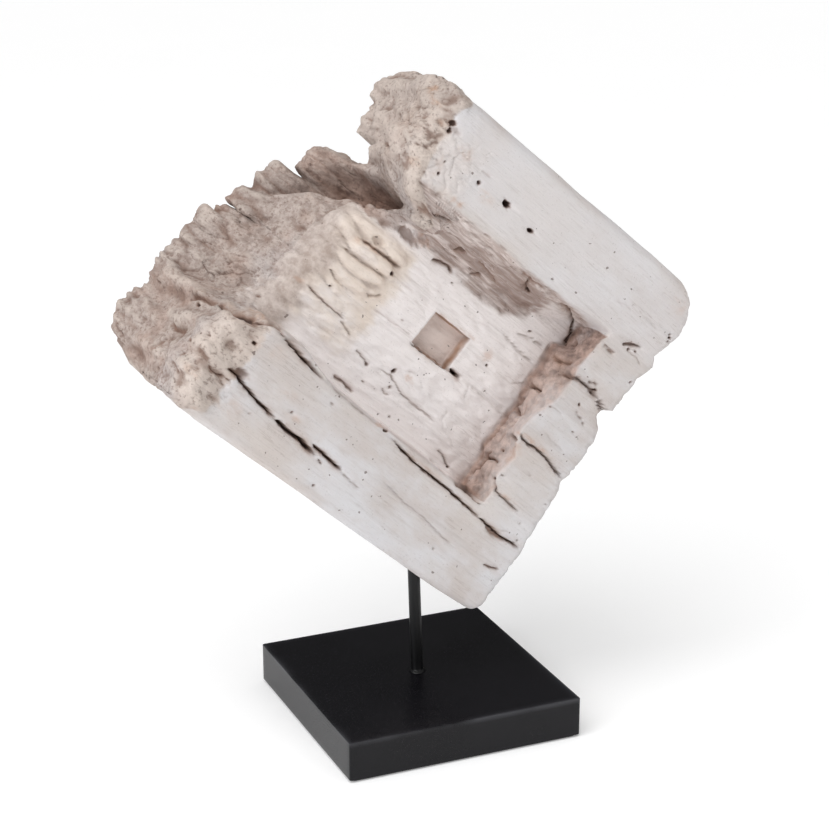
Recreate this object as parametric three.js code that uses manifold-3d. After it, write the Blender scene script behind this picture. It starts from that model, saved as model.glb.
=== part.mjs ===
// An old hewn block of eroded wood, leaning on a steel post that stands in a square black base.
// Millimetres, +Z up. The origin is the middle of the face that the stand rests on.
// The wood has a frame of its own: u runs along the grain, v across it, w out of its worked face.
import * as THREE from "three";
import { mergeVertices } from "three/addons/utils/BufferGeometryUtils.js";
import Module from "manifold-3d";

// Stand
const FELT_THICK = 2;
const FELT_INSET = 3;
const BASE_SIDE = 200;
const BASE_THICK = 32;
const BASE_CORNER = 1.5;
const BASE_EASE = 0.8;
const POST_RADIUS = 5;
const POST_BEAD = 1.8;
// The post stands a little off plumb: its shift for each millimetre of height, along x and y
const OFF_PLUMB = [-0.029, 0.0125];
const CLEARANCE = 0.3;
const POCKET_RADIUS = 15;
const POCKET_DEPTH = 14;
const WASHER_RADIUS = 12;
const WASHER_THICK = 2;
const NUT_ACROSS_FLATS = 17;
const NUT_THICK = 8;
const THREAD_PAST_NUT = 2;
const BASE_TOP = FELT_THICK + BASE_THICK;
const POCKET_ROOF = FELT_THICK + POCKET_DEPTH;

// Wood: its place, its size and the trough in its worked face
const LEAN = THREE.MathUtils.degToRad(41.5);
const WOOD_CENTRE = new THREE.Vector3(-8, 0, 335);
const HALF_DEPTH = 62;
const HALF_WIDTH = 156;
const EDGE_ROUND = 10;
const TROUGH_DEPTH = 42;
const END_WALL_FOOT = 112;
const END_WALL_TOP = 117.5;
// The end wall's blocks: how far each is crowned, and how they repeat across the grain
const BLOCK_CROWN = 2.5;
const BLOCK_OFFSET = 20;
const BLOCK_PITCH = 20.5;
// Unevenness: the worn end's finger-like lumps and soft swells, and the hewn faces' long waves
const FINGER_HEIGHT = 2.4;
const SWELL_HEIGHT = 1.6;
const FACE_WAVE = 1.2;
const UPPER_SLOPE_FOOT = 53.5;
const UPPER_SLOPE_TOP = 86;
const POST_HOLE_TOP = 225;
const MORTISE = { u: [3, 43], v: [-11, 19], depth: 17 };
// The cavity beside the upper rail: its middle across the grain and in depth, its size, its reach
const CAVITY = { v: 56, w: -12, across: 17, deep: 30, reach: 26 };

// The long edges and the lower rail's inner edge, as pairs of u and v
const LOW_EDGE = [[-170, -151], [-120, -156], [0, -155], [100, -153.5], [176, -150.5]];
const HIGH_EDGE = [[-135, 154], [20, 156], [105, 158.5], [150, 157]];
const RAIL_EDGE = [[-160, -66], [-105, -66], [-55, -75], [120, -78]];
// The worn end, as pairs of v and u, at the worked face and at the back
const WORN_END_FRONT = [
  [-156, -150], [-80, -152], [-62, -112], [-20, -104], [20, -98], [45, -88], [66, -72], [84, -90],
  [100, -110], [140, -118], [156, -114],
];
const WORN_END_BACK = [
  [-156, -158], [-146, -170], [-130, -176], [-101, -170], [-92, -180], [-80, -179], [-57, -173], [-34, -174],
  [-22, -168], [-12, -152], [0, -161], [22, -151], [34, -144], [44, -134], [62, -130], [77, -92], [87, -92],
  [96, -113], [113, -116], [133, -126], [146, -116], [156, -106],
];
// The cut end, as pairs of v and u
const CUT_END = [
  [-156, 169], [-148, 176], [-95, 176], [-50, 172], [-24, 168], [10, 169], [26, 164], [35, 155], [44, 165],
  [76, 166], [90, 170], [100, 165], [126, 171], [140, 165], [150, 158], [156, 144],
];
// Splits in the worked face: points along each as u and v, its width and its depth
const SPLITS = [
  { run: [[-114, -108], [-108, -114], [-82, -118.5], [-55, -122], [-26, -125]], width: 4, depth: 15 },
  { run: [[-32, -119], [-12, -121], [12, -124]], width: 2.5, depth: 9 },
  { run: [[-132, -71], [-118, -66], [-106, -67], [-85, -72], [-62, -75.5]], width: 2.6, depth: 12 },
  { run: [[20, -80], [42, -83], [100, -86], [140, -89.5], [180, -89]], width: 2.4, depth: 16 },
  { run: [[104, 40], [112, 44], [136, 45.5], [152, 38], [175, 35]], width: 4, depth: 16 },
  { run: [[102, -15], [110, -18.5], [128, -17.5], [150, -21], [180, -25]], width: 3.5, depth: 14 },
  { run: [[112, -57], [120, -62.5], [149, -66]], width: 2.5, depth: 10 },
  { run: [[130, 89], [139, 94], [148, 98]], width: 3.5, depth: 8 },
];

// Steps of the wood's skin: nominal v of the columns, and the rows' sections along the grain
const COLUMN_RUNS = [
  [-156, -146, 3], [-146, -80, 6], [-80, -72, 4], [-72, 53, 10], [53, 86, 4], [86, 146, 5], [146, 156, 3],
];
const SIDE_STEPS = 3;
const END_ROWS = [[0, 0], [0.3, 0], [0.6, 0], [0.84, 0.4], [0.93, 2.4], [0.985, 5.6]];
const WORN_ROWS = 9;
const MIDDLE_ROWS = 9;
const WALL_ROWS = 4;
const CUT_ROWS = 5;
const WORN_TO = -44;

const wasm = await Module();
wasm.setup();

const smooth = (x, from, to) => THREE.MathUtils.smoothstep(x, from, to);

// Straight-line reading of a list of pairs
function along(pairs, x) {
  const next = pairs.findIndex((pair) => pair[0] >= x);
  if (next === 0) return pairs[0][1];
  if (next < 0) return pairs[pairs.length - 1][1];
  const [x0, y0] = pairs[next - 1];
  const [x1, y1] = pairs[next];
  return y0 + ((x - x0) / (x1 - x0)) * (y1 - y0);
}

// How far the worked face lies under its rails' tops
function sunk(u, v) {
  const edge = along(RAIL_EDGE, u);
  const across = smooth(v, edge, edge + 3) * (1 - smooth(v, UPPER_SLOPE_FOOT, UPPER_SLOPE_TOP));
  const trough = TROUGH_DEPTH * (1 - smooth(u, END_WALL_FOOT, END_WALL_TOP));
  const crowned = 1 - Math.abs(Math.sin((v + BLOCK_OFFSET) / BLOCK_PITCH));
  return across * (trough + BLOCK_CROWN * crowned * smooth(u, END_WALL_TOP, END_WALL_TOP + 12));
}

// Wear: soft lumps that grow towards the worn end
function lumps(u, v, w) {
  const wear = 1 - smooth(u, -130, -40);
  const fingers = Math.sin(v / 6.1 + w / 19) * Math.cos(w / 8.3 - v / 23);
  const swells = Math.sin(u / 9.7 + v / 11.3);
  return wear * (FINGER_HEIGHT * fingers + SWELL_HEIGHT * swells);
}

// Height of the worked face and of the back, with their long edges rounded
function faceHeight(u, v, side) {
  const over = Math.max(0, Math.abs(v) - (HALF_WIDTH - EDGE_ROUND));
  const round = EDGE_ROUND - Math.sqrt(Math.max(0, EDGE_ROUND ** 2 - over ** 2));
  const wave = FACE_WAVE * Math.sin(u / 47) * Math.cos(v / 39);
  if (side < 0) return -HALF_DEPTH + round + wave;
  return HALF_DEPTH - round - sunk(u, v) - 0.6 * wave;
}

// Where the worn end lies at a place across the grain and in depth
function wornEnd(v, w) {
  const back = THREE.MathUtils.clamp((HALF_DEPTH - TROUGH_DEPTH - w) / (2 * HALF_DEPTH - TROUGH_DEPTH), 0, 1);
  const plane = THREE.MathUtils.lerp(along(WORN_END_FRONT, v), along(WORN_END_BACK, v), back);
  const near = ((v - CAVITY.v) / CAVITY.across) ** 2 + ((w - CAVITY.w) / CAVITY.deep) ** 2;
  return plane + CAVITY.reach * Math.exp(-near) + lumps(-150, v, w);
}

// Columns once round the wood's section: nominal v, which face, and the height's share on the sides
function sectionColumns() {
  const across = [];
  for (const [from, to, steps] of COLUMN_RUNS) {
    for (let k = 0; k < steps; k++) across.push(from + ((to - from) * k) / steps);
  }
  across.push(HALF_WIDTH);
  const loop = across.map((v) => ({ v, side: 1, share: 1 }));
  for (let k = 1; k < SIDE_STEPS; k++) loop.push({ v: HALF_WIDTH, side: 1, share: 1 - (2 * k) / SIDE_STEPS });
  for (const v of [...across].reverse()) loop.push({ v, side: -1, share: 1 });
  for (let k = 1; k < SIDE_STEPS; k++) loop.push({ v: -HALF_WIDTH, side: -1, share: 1 - (2 * k) / SIDE_STEPS });
  return loop;
}

// Rows along the grain: how far each has come in its section, and the ends' closing share
function grainRows() {
  const rows = END_ROWS.map(([share, inset]) => ({ section: 0, t: 0, share, inset }));
  const sections = [WORN_ROWS, MIDDLE_ROWS, WALL_ROWS, CUT_ROWS];
  sections.forEach((steps, section) => {
    for (let k = 0; k < steps; k++) rows.push({ section, t: k / steps, share: 1, inset: EDGE_ROUND });
  });
  rows.push({ section: 3, t: 1, share: 1, inset: EDGE_ROUND });
  for (const [share, inset] of [...END_ROWS].reverse()) rows.push({ section: 3, t: 1, share, inset });
  return rows;
}

// One point of the wood's skin
function skinPoint(row, column) {
  const v = column.v;
  const level = (u) => row.share * column.share * faceHeight(u, v, column.side);
  const w0 = level(row.section === 0 ? WORN_TO : END_WALL_TOP + EDGE_ROUND);
  const worn = wornEnd(v, w0) + row.inset;
  const cut = along(CUT_END, v) - row.inset;
  const marks = [worn, WORN_TO, END_WALL_FOOT - 2, END_WALL_TOP + 2, cut];
  const u = THREE.MathUtils.lerp(marks[row.section], marks[row.section + 1], row.t);
  const w = level(u);
  const push = lumps(u, v, w) * column.share * row.share;
  const edge = v > 0 ? along(HIGH_EDGE, u) : -along(LOW_EDGE, u);
  return new THREE.Vector3(u, (v * edge) / HALF_WIDTH, w + Math.sign(column.side) * push);
}

// The skin: rows of columns, closed round the section and zipped shut at both ends
function woodSkin() {
  const columns = sectionColumns();
  const rows = grainRows();
  const points = rows.flatMap((row) => columns.map((column) => skinPoint(row, column)));
  const faces = [];
  const at = (row, column) => row * columns.length + (column % columns.length);
  for (let row = 0; row + 1 < rows.length; row++) {
    for (let column = 0; column < columns.length; column++) {
      const [a, b] = [at(row, column), at(row + 1, column)];
      const [c, d] = [at(row + 1, column + 1), at(row, column + 1)];
      faces.push(a, b, c, a, c, d);
    }
  }
  const geometry = new THREE.BufferGeometry().setFromPoints(points);
  geometry.setIndex(faces);
  return geometry;
}

// A closed mesh as a solid: shared vertices merged, faces without area dropped
function solid(geometry) {
  const bare = new THREE.BufferGeometry();
  bare.setAttribute("position", geometry.getAttribute("position"));
  bare.setIndex(geometry.getIndex());
  const merged = mergeVertices(bare, 1e-4);
  const index = merged.getIndex().array;
  const kept = [];
  for (let k = 0; k < index.length; k += 3) {
    const [a, b, c] = [index[k], index[k + 1], index[k + 2]];
    if (a !== b && b !== c && c !== a) kept.push(a, b, c);
  }
  return new wasm.Manifold(new wasm.Mesh({
    numProp: 3,
    vertProperties: new Float32Array(merged.getAttribute("position").array),
    triVerts: new Uint32Array(kept),
  }));
}

function toGeometry(manifold) {
  const mesh = manifold.getMesh();
  const geometry = new THREE.BufferGeometry();
  geometry.setAttribute("position", new THREE.BufferAttribute(mesh.vertProperties, 3));
  geometry.setIndex(new THREE.BufferAttribute(mesh.triVerts, 1));
  geometry.computeVertexNormals();
  return geometry;
}

function box(low, high) {
  const size = high.map((value, k) => value - low[k]);
  const geometry = new THREE.BoxGeometry(...size);
  return geometry.translate(...low.map((value, k) => value + size[k] / 2));
}

// A thin wedge-ended sliver along a split, cut down from above the worked face
function splitCut({ run, width, depth }) {
  const shape = new THREE.Shape();
  const last = run.length - 1;
  const half = (k) => (k === 0 || k === last ? 0.4 : width / 2);
  run.forEach(([u, v], k) => (k === 0 ? shape.moveTo(u, v - half(k)) : shape.lineTo(u, v - half(k))));
  for (let k = last; k >= 0; k--) shape.lineTo(run[k][0], run[k][1] + half(k));
  shape.closePath();
  const geometry = new THREE.ExtrudeGeometry(shape, { depth: depth + 30, bevelEnabled: false });
  return geometry.translate(0, 0, HALF_DEPTH - depth);
}

// A cylinder that stands on z = low
function upright(radius, low, high, sides = 40) {
  const geometry = new THREE.CylinderGeometry(radius, radius, high - low, sides);
  return geometry.rotateX(Math.PI / 2).translate(0, 0, (low + high) / 2);
}

// Everything above the base, shifted as the post leans
function offPlumb(geometry) {
  const place = geometry.getAttribute("position");
  for (let k = 0; k < place.count; k++) {
    const rise = Math.max(0, place.getZ(k) - BASE_TOP);
    place.setX(k, place.getX(k) + rise * OFF_PLUMB[0]);
    place.setY(k, place.getY(k) + rise * OFF_PLUMB[1]);
  }
  return geometry;
}

function named(name, geometry, material) {
  const mesh = new THREE.Mesh(geometry, material);
  mesh.name = name;
  return mesh;
}

const finish = (color, roughness, metalness) => new THREE.MeshStandardMaterial({ color, roughness, metalness });

// The wood, in its own frame inside two turned groups
function makeWood() {
  const lean = new THREE.Group();
  lean.position.copy(WOOD_CENTRE);
  lean.rotation.y = LEAN;
  const upended = new THREE.Group();
  upended.rotation.x = Math.PI / 2;
  lean.add(upended);
  lean.updateMatrixWorld(true);
  const intoWood = upended.matrixWorld.clone().invert();
  const floor = HALF_DEPTH - TROUGH_DEPTH;
  const mortise = box(
    [MORTISE.u[0], MORTISE.v[0], floor - MORTISE.depth],
    [MORTISE.u[1], MORTISE.v[1], floor + 20],
  );
  const postHole = offPlumb(upright(POST_RADIUS + CLEARANCE, BASE_TOP + 40, POST_HOLE_TOP)).applyMatrix4(intoWood);
  let wood = solid(woodSkin()).subtract(solid(mortise)).subtract(solid(postHole));
  for (const split of SPLITS) wood = wood.subtract(solid(splitCut(split)));
  upended.add(named("eroded_wood", toGeometry(wood), finish(0xd9d0ca, 0.9, 0)));
  return lean;
}

// The post, turned: a bead round its foot lies on the base
function makePost() {
  const low = POCKET_ROOF - WASHER_THICK - NUT_THICK - THREAD_PAST_NUT;
  const high = POST_HOLE_TOP - 2 * CLEARANCE;
  const profile = [
    [0, low], [POST_RADIUS - 0.8, low], [POST_RADIUS, low + 0.8], [POST_RADIUS, BASE_TOP],
    [POST_RADIUS + POST_BEAD, BASE_TOP], [POST_RADIUS + POST_BEAD * 0.45, BASE_TOP + POST_BEAD * 0.5],
    [POST_RADIUS, BASE_TOP + POST_BEAD * 1.2], [POST_RADIUS, high - 0.8], [POST_RADIUS - 0.8, high], [0, high],
  ].map(([r, z]) => new THREE.Vector2(r, z));
  const geometry = new THREE.LatheGeometry(profile, 40).rotateX(Math.PI / 2);
  return named("post", toGeometry(solid(offPlumb(geometry))), finish(0x17171a, 0.42, 0.2));
}

// A square with rounded corners, extruded with eased edges
function easedSlab(side, corner, ease, low, high) {
  const half = side / 2 - ease;
  const inner = half - corner;
  const shape = new THREE.Shape();
  shape.moveTo(-inner, -half);
  for (let k = 0; k < 4; k++) {
    const turn = (k * Math.PI) / 2 - Math.PI / 2;
    const middle = new THREE.Vector2(inner, -inner).rotateAround(new THREE.Vector2(), (k * Math.PI) / 2);
    shape.absarc(middle.x, middle.y, corner, turn, turn + Math.PI / 2, false);
  }
  shape.closePath();
  const geometry = new THREE.ExtrudeGeometry(shape, {
    depth: high - low - 2 * ease,
    bevelEnabled: ease > 0,
    bevelThickness: ease,
    bevelSize: ease,
    bevelSegments: 3,
    curveSegments: 4,
  });
  return geometry.translate(0, 0, low + ease);
}

function makeBase() {
  const block = solid(easedSlab(BASE_SIDE, BASE_CORNER, BASE_EASE, FELT_THICK, BASE_TOP))
    .subtract(solid(upright(POST_RADIUS + CLEARANCE, -10, BASE_TOP + 10)))
    .subtract(solid(upright(POCKET_RADIUS, -10, POCKET_ROOF)));
  return named("base_block", toGeometry(block), finish(0x1c1c20, 0.4, 0));
}

function makeWasher() {
  const ring = solid(upright(WASHER_RADIUS, POCKET_ROOF - WASHER_THICK, POCKET_ROOF))
    .subtract(solid(upright(POST_RADIUS + CLEARANCE, 0, POCKET_ROOF + 10)));
  return named("washer", toGeometry(ring), finish(0x9a9a9c, 0.4, 0.9));
}

function makeNut() {
  const high = POCKET_ROOF - WASHER_THICK;
  const corner = NUT_ACROSS_FLATS / 2 / Math.cos(Math.PI / 6);
  const nut = solid(upright(corner, high - NUT_THICK, high, 6))
    .subtract(solid(upright(POST_RADIUS + CLEARANCE, 0, POCKET_ROOF)));
  return named("nut", toGeometry(nut), finish(0x9a9a9c, 0.4, 0.9));
}

function makeFelt() {
  const sheet = solid(easedSlab(BASE_SIDE - 2 * FELT_INSET, 3, 0, 0, FELT_THICK));
  return named("felt_sheet", toGeometry(sheet), finish(0x1b1b1b, 0.95, 0));
}

const part = new THREE.Group();
part.add(makeWood(), makePost(), makeBase(), makeWasher(), makeNut(), makeFelt());
export default part;
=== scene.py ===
# %% [markdown]
# Eroded wood on a stand
#
# The real object is one hewn block of old, bleached wood, about as tall as a forearm is long. Somebody once
# cut a wide trough and a small mortise into it, then water and insects ate one end away. It leans on a
# steel post that stands in a square black base. This script builds the looks of it in Blender around a
# model that is already measured, so every new piece starts from that model's places.

# %% The measured model
import math
from types import SimpleNamespace

import bmesh
import bpy
import numpy as np
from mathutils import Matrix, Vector


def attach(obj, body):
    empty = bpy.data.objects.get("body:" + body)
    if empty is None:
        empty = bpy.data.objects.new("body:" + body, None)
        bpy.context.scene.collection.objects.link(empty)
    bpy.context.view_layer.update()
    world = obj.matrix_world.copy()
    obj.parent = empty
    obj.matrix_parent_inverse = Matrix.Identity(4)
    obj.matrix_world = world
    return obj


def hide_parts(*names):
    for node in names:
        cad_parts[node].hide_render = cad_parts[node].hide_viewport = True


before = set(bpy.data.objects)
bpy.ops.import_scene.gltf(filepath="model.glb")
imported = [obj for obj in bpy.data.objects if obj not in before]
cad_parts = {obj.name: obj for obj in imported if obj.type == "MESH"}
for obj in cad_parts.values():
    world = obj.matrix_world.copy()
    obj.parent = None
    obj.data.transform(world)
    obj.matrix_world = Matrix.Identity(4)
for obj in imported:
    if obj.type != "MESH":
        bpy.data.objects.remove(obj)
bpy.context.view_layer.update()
MM = 0.001

# %% [markdown]
# The camera comes first, because everything else is judged through it. A product photographer stands well
# back with a long lens, so that the block's edges stay nearly parallel. The place and the angles below come
# from the corners of the square base: their spread fixes how far away the lens was.

# %% The camera
TURN = math.radians(23.44)
LOOK_DOWN = math.radians(18.86)
STAND_POINT = Vector((-0.6573, -1.5105, 0.8201))
LENS = 95.32

lens = bpy.data.cameras.new("camera")
lens.lens = LENS
lens.sensor_width = 36
lens.clip_start = 0.05
camera = bpy.data.objects.new("camera", lens)
camera.location = STAND_POINT
camera.rotation_euler = (math.pi / 2 - LOOK_DOWN, 0, -TURN)
bpy.context.scene.collection.objects.link(camera)
bpy.context.scene.camera = camera
print("camera at", [round(x, 3) for x in STAND_POINT], "with a lens of", LENS, "mm")

# %% [markdown]
# Weathered wood is mostly irregular, so the script needs its own source of irregularity that gives the same
# result each time. Two kinds are enough. Gradient noise makes soft swells, and stretching it along the grain
# turns swells into fibres. Cell noise scatters points and measures how far the two nearest ones are, which
# gives the knobs and the dark creases between them.

# %% Soft steps, lines and noise
def smooth(x, low, high):
    """0 below low and 1 above high, with an S-shaped rise between them."""
    t = np.clip((x - low) / (high - low), 0, 1)
    return t * t * (3 - 2 * t)


def reading(pairs, x):
    """The height at x of the line through the pairs."""
    at, height = np.array(pairs, float).T
    return np.interp(x, at, height)


def lattice(p, q, r, seed):
    """Unit cubes round the points. Gives each point's place inside its cube, a source of random numbers, and
    a function that numbers a cube some steps away by looking up its three places in one shuffled list."""
    random = np.random.default_rng(seed)
    shuffle = random.permutation(256)
    place = np.stack(np.broadcast_arrays(p, q, r)).astype(float)
    cube = np.floor(place).astype(int)

    def numbered(steps):
        """A number from 0 to 255 for the cube that lies these steps away, the same for each visit."""
        pick = 0
        for axis in range(3):
            pick = shuffle[(pick + cube[axis] + steps[axis]) & 255]
        return pick

    return place - cube, random, numbered


def swell(p, q, r, seed):
    """Gradient noise, about -1 to 1: each lattice corner has a random lean, and the eight leans round a
    point are blended with a smooth curve."""
    inside, random, numbered = lattice(p, q, r, seed)
    lean = random.normal(size=(256, 3))
    lean /= np.linalg.norm(lean, axis=1)[:, None]
    ease = inside**3 * (inside * (inside * 6 - 15) + 10)
    total = np.zeros(inside.shape[1:])
    for corner in np.ndindex(2, 2, 2):
        pick = numbered(corner)
        share = np.ones(inside.shape[1:])
        height = np.zeros(inside.shape[1:])
        for axis in range(3):
            share *= ease[axis] if corner[axis] else 1 - ease[axis]
            height += lean[pick, axis] * (inside[axis] - corner[axis])
        total += share * height
    return 1.6 * total


def layers(p, q, r, seed, count, keep=0.5):
    """Several swells on top of each other, each twice as fine and keep times as high as the last."""
    return sum(keep**k * swell(p * 2**k, q * 2**k, r * 2**k, seed + k) for k in range(count))


def cells(p, q, r, seed):
    """Scattered points, one in each unit cube. Gives the distances to the nearest and the second nearest."""
    inside, random, numbered = lattice(p, q, r, seed)
    offset = random.random((256, 3))
    nearest = np.full(inside.shape[1:], 9.0)
    second = nearest.copy()
    for corner in np.ndindex(3, 3, 3):
        steps = [step - 1 for step in corner]
        pick = numbered(steps)
        away = sum((offset[pick, k] + steps[k] - inside[k]) ** 2 for k in range(3)) ** 0.5
        second = np.where(away < nearest, nearest, np.minimum(second, away))
        nearest = np.minimum(nearest, away)
    return nearest, second


print("noise on a small sample:", swell(np.arange(3) / 3, 0.5, 0.5, 1).round(3))

# %% [markdown]
# The block has a frame of its own: u runs along the grain, v across it, and w out of the face with the
# trough. It leans 41.5 degrees on its post. Marks on the worked face were measured on a flat sheet laid
# over it as the camera sees it, so a helper turns any point of the block into its place on that sheet.

# %% The block's own frame and the sheet laid over it
LEAN = math.radians(41.5)
MIDDLE = np.array([-8.0, 0.0, 335.0])
GRAIN = np.array([math.cos(LEAN), 0, -math.sin(LEAN)])
ACROSS = np.array([math.sin(LEAN), 0, math.cos(LEAN)])
OUT = np.array([0.0, -1.0, 0.0])
HALF_DEPTH = 62.0
HALF_WIDTH = 156.0
EYE = np.array(STAND_POINT) / MM - MIDDLE
EYE_U, EYE_V, EYE_W = EYE @ GRAIN, EYE @ ACROSS, EYE @ OUT


def on_sheet(u, v, w):
    """Where a point of the block is seen on the sheet: the sight line from the eye meets w = HALF_DEPTH."""
    stretch = (EYE_W - w) / (EYE_W - HALF_DEPTH)
    return EYE_U + (u - EYE_U) / stretch, EYE_V + (v - EYE_V) / stretch


def off_sheet(pairs, w):
    """Marks on the sheet as u and v at the depth w: the same sight line, the other way."""
    stretch = (EYE_W - w) / (EYE_W - HALF_DEPTH)
    marks = np.array(pairs, float)
    return np.stack([EYE_U + (marks[:, 0] - EYE_U) * stretch, EYE_V + (marks[:, 1] - EYE_V) * stretch], 1)


print("the eye in the block's frame:", round(EYE_U), round(EYE_V), round(EYE_W))

# %% [markdown]
# The trough was cut with an adze and a chisel. Its floor lies 42 mm under the two rails that were left
# along its sides. The lower rail has a steep inner wall, the upper one a rough slope, and a stepped end
# wall of four blocks closes the trough at the sound end. The lists below say where those edges run.

# %% Edges of the block and its trough
TROUGH_DEPTH = 42.0
FLOOR = HALF_DEPTH - TROUGH_DEPTH
LOW_EDGE = [[-170, -151], [-120, -156], [0, -155], [100, -153.5], [176, -150.5]]
HIGH_EDGE = [[-135, 154], [20, 156], [105, 158.5], [150, 157]]
RAIL_FOOT = [[-160, -63], [-105, -63.5], [-55, -72], [8, -75], [120, -76]]
SLOPE_FOOT = [[-90, 50], [20, 53], [60, 57], [85, 70], [100, 77], [120, 79]]
SLOPE_TOP = [[-120, 66], [-90, 75], [-60, 82], [-20, 86], [40, 86.5], [60, 90], [120, 90.5]]
WALL_FOOT = off_sheet(
    [[90, -78], [89, -62], [88, -46], [84, -41], [85, 0], [84, 6], [82, 12], [80, 22], [80, 34], [78, 50],
     [78, 54], [87, 57], [88, 72], [88, 90]], FLOOR)[:, ::-1]
WALL_TOP = [[-80, 118], [-62, 118], [-56, 113], [-48, 113], [-42, 115], [-34, 116], [-28, 112], [-22, 107],
            [-12, 104], [0, 106], [12, 111], [20, 114], [45, 114], [52, 112], [90, 114]]
CUT_END = [[-156, 172], [-148, 177], [-95, 176], [-72, 173], [-50, 171], [-34, 169], [-27, 165], [-18, 168],
           [0, 169], [14, 168], [26, 163], [33, 154], [38, 155], [43, 164], [76, 165], [84, 168], [90, 170],
           [98, 165], [112, 168], [126, 171], [140, 166], [150, 158], [156, 144]]

# %% [markdown]
# The worn end is what makes this block. Rot followed the grain: it ate the soft wood behind the trough
# into a long slope, left the two rails' ends as knobs, and bit a deep cavity under the upper rail. The back
# stands further out than the front, in thin fins with notches between them. Two outlines, one at the
# front and one at the back, give that slope. Between them only the back outline's broad course counts, so
# that its notches show at the rim alone. The cavity is then pushed in along the grain.

# %% Outlines of the worn end
WORN_FRONT = [
    [-156, -150], [-128, -153], [-100, -153], [-82, -152], [-70, -128], [-60, -112], [-40, -105],
    [-20, -103], [20, -98], [45, -88], [60, -80], [66, -76], [74, -96], [84, -110], [100, -116],
    [140, -119], [156, -114],
]
WORN_BACK = np.array([
    [-165, -150], [-192, -149], [-209, -147], [-218, -140], [-223, -125], [-222, -112], [-215, -100],
    [-222, -93], [-220, -80], [-215, -57], [-218, -48], [-213, -43], [-216, -36], [-213, -27], [-200, -19],
    [-192, -16], [-206, -14.5], [-204, -5], [-196, 3], [-198, 8], [-194, 18], [-190, 28], [-168, 31],
    [-180, 34.5], [-177, 45], [-176, 52], [-160, 59], [-148, 64], [-139, 67], [-139, 75], [-144, 82],
    [-160, 84], [-164, 93], [-161, 100], [-166, 112], [-172, 118], [-168, 126], [-164, 135], [-158, 140],
    [-150, 143], [-143, 150], [-132, 153],
])
BACK_SEEN_AT = -52.0
WORN_BACK_TRUE = off_sheet(WORN_BACK, BACK_SEEN_AT)[:, ::-1]
CAVITY_REACH = 44.0
CAVITY_FOOT = [[-45, 6], [-25, 27], [0, 46], [20, 62]]
CAVITY_ROOF = [[-45, 66], [0, 73], [20, 76]]


def cavity(v, w):
    """1 inside the cavity's section and 0 outside it: between its foot and its roof, and not at the back."""
    foot = reading(CAVITY_FOOT, w)
    roof = reading(CAVITY_ROOF, w)
    inside = smooth(v, foot - 1, foot + 9) * (1 - smooth(v, roof - 7, roof + 3))
    return inside * smooth(w, -50, -30) * (1 - smooth(w, 14, 24))


def worn_end(v, w):
    """u of the worn end: the front outline turns into the back outline's mean over 28 mm with depth, and the
    back outline's own notches come in near the rim. Swells of some millimetres lie on top, and the
    cavity's reach is added inside its section."""
    back = np.clip((FLOOR - w) / (FLOOR - BACK_SEEN_AT), 0, 1.1)
    front_u = reading(WORN_FRONT, v)
    back_u = reading(WORN_BACK_TRUE, v)
    broad_back = sum(reading(WORN_BACK_TRUE, v + away) for away in (-14, -7, 0, 7, 14)) / 5
    plane = front_u + (broad_back - front_u) * back + (back_u - broad_back) * smooth(back, 0.5, 0.97)
    behind_trough = smooth(v, -75, -55) * (1 - smooth(v, 40, 60))
    plane += (6 - 3.5 * behind_trough) * swell(v / 15, w / 36, 0.3, 13) * (1 - 0.8 * smooth(back, 0.5, 0.9))
    return plane + CAVITY_REACH * cavity(v, w)


print("the worn end runs from", worn_end(-100.0, -52.0).round(), "to", worn_end(60.0, 10.0).round())

# %% [markdown]
# The skin of the block is one grid of points. Its columns go once round the section and its rows run along
# the grain. Both follow the edges listed above, so a wall or a step always has its own close-set rows or
# columns and stays crisp. At each end the rows shrink towards the middle of the thickness, and the last one
# is shared by front and back, so the skin closes without a seam.

# %% Columns and rows of the skin
EDGE_ROUND = 7.0
MORTISE_U = (3.0, 43.0)
MORTISE_V = (-11.0, 19.0)
MORTISE_DEPTH = 12.0
JAMB = 0.8
RAIL_LEAN = 3.0
WORN_TO = -44.0
WALL_OUTSIDE = (110.0, 118.0)
WORN_ROUND, CUT_ROUND = 13.0, 4.5


def steps(counts):
    """For a run of stretches, the number of the stretch that each point is in and its share of the way."""
    part = np.concatenate([np.full(n, k) for k, n in enumerate(counts)])
    share = np.concatenate([np.arange(n) / n for n in counts])
    return np.append(part, len(counts) - 1), np.append(share, 1.0)


def between(stops, part, share):
    """The value at each point of a run: straight between the two stops round it."""
    return stops[part] * (1 - share) + stops[part + 1] * share


# Stretches across the worked face, from the lower rail to the upper one, and how many columns each has
(LOW_RAIL, RAIL_WALL, LOW_FLOOR, LOW_JAMB, MORTISE, HIGH_JAMB, HIGH_FLOOR, SLOPE, HIGH_RAIL) = range(9)
FRONT_COUNTS = (64, 16, 58, 8, 26, 8, 32, 42, 58)
CORNER, SIDE = 6, 76
# Sections along the grain, from the worn end to the sound one, and how many rows each has
SECTIONS = ("worn", "before", "step", "mortise", "step_back", "after", "wall", "blocks")
WORN, BEFORE, STEP, MORTISE_ROWS, STEP_BACK, AFTER, WALL, BLOCKS = range(8)
ROW_COUNTS = dict(cap=54, brow=10, worn=76, before=44, step=8, mortise=36, step_back=8, after=62, wall=30,
                  blocks=42, edge=7, end=46)
part, share = steps(FRONT_COUNTS)
FRONT = len(part)
print("columns across the worked face:", FRONT, "rows along the grain:", sum(ROW_COUNTS.values()) + 1)


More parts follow.
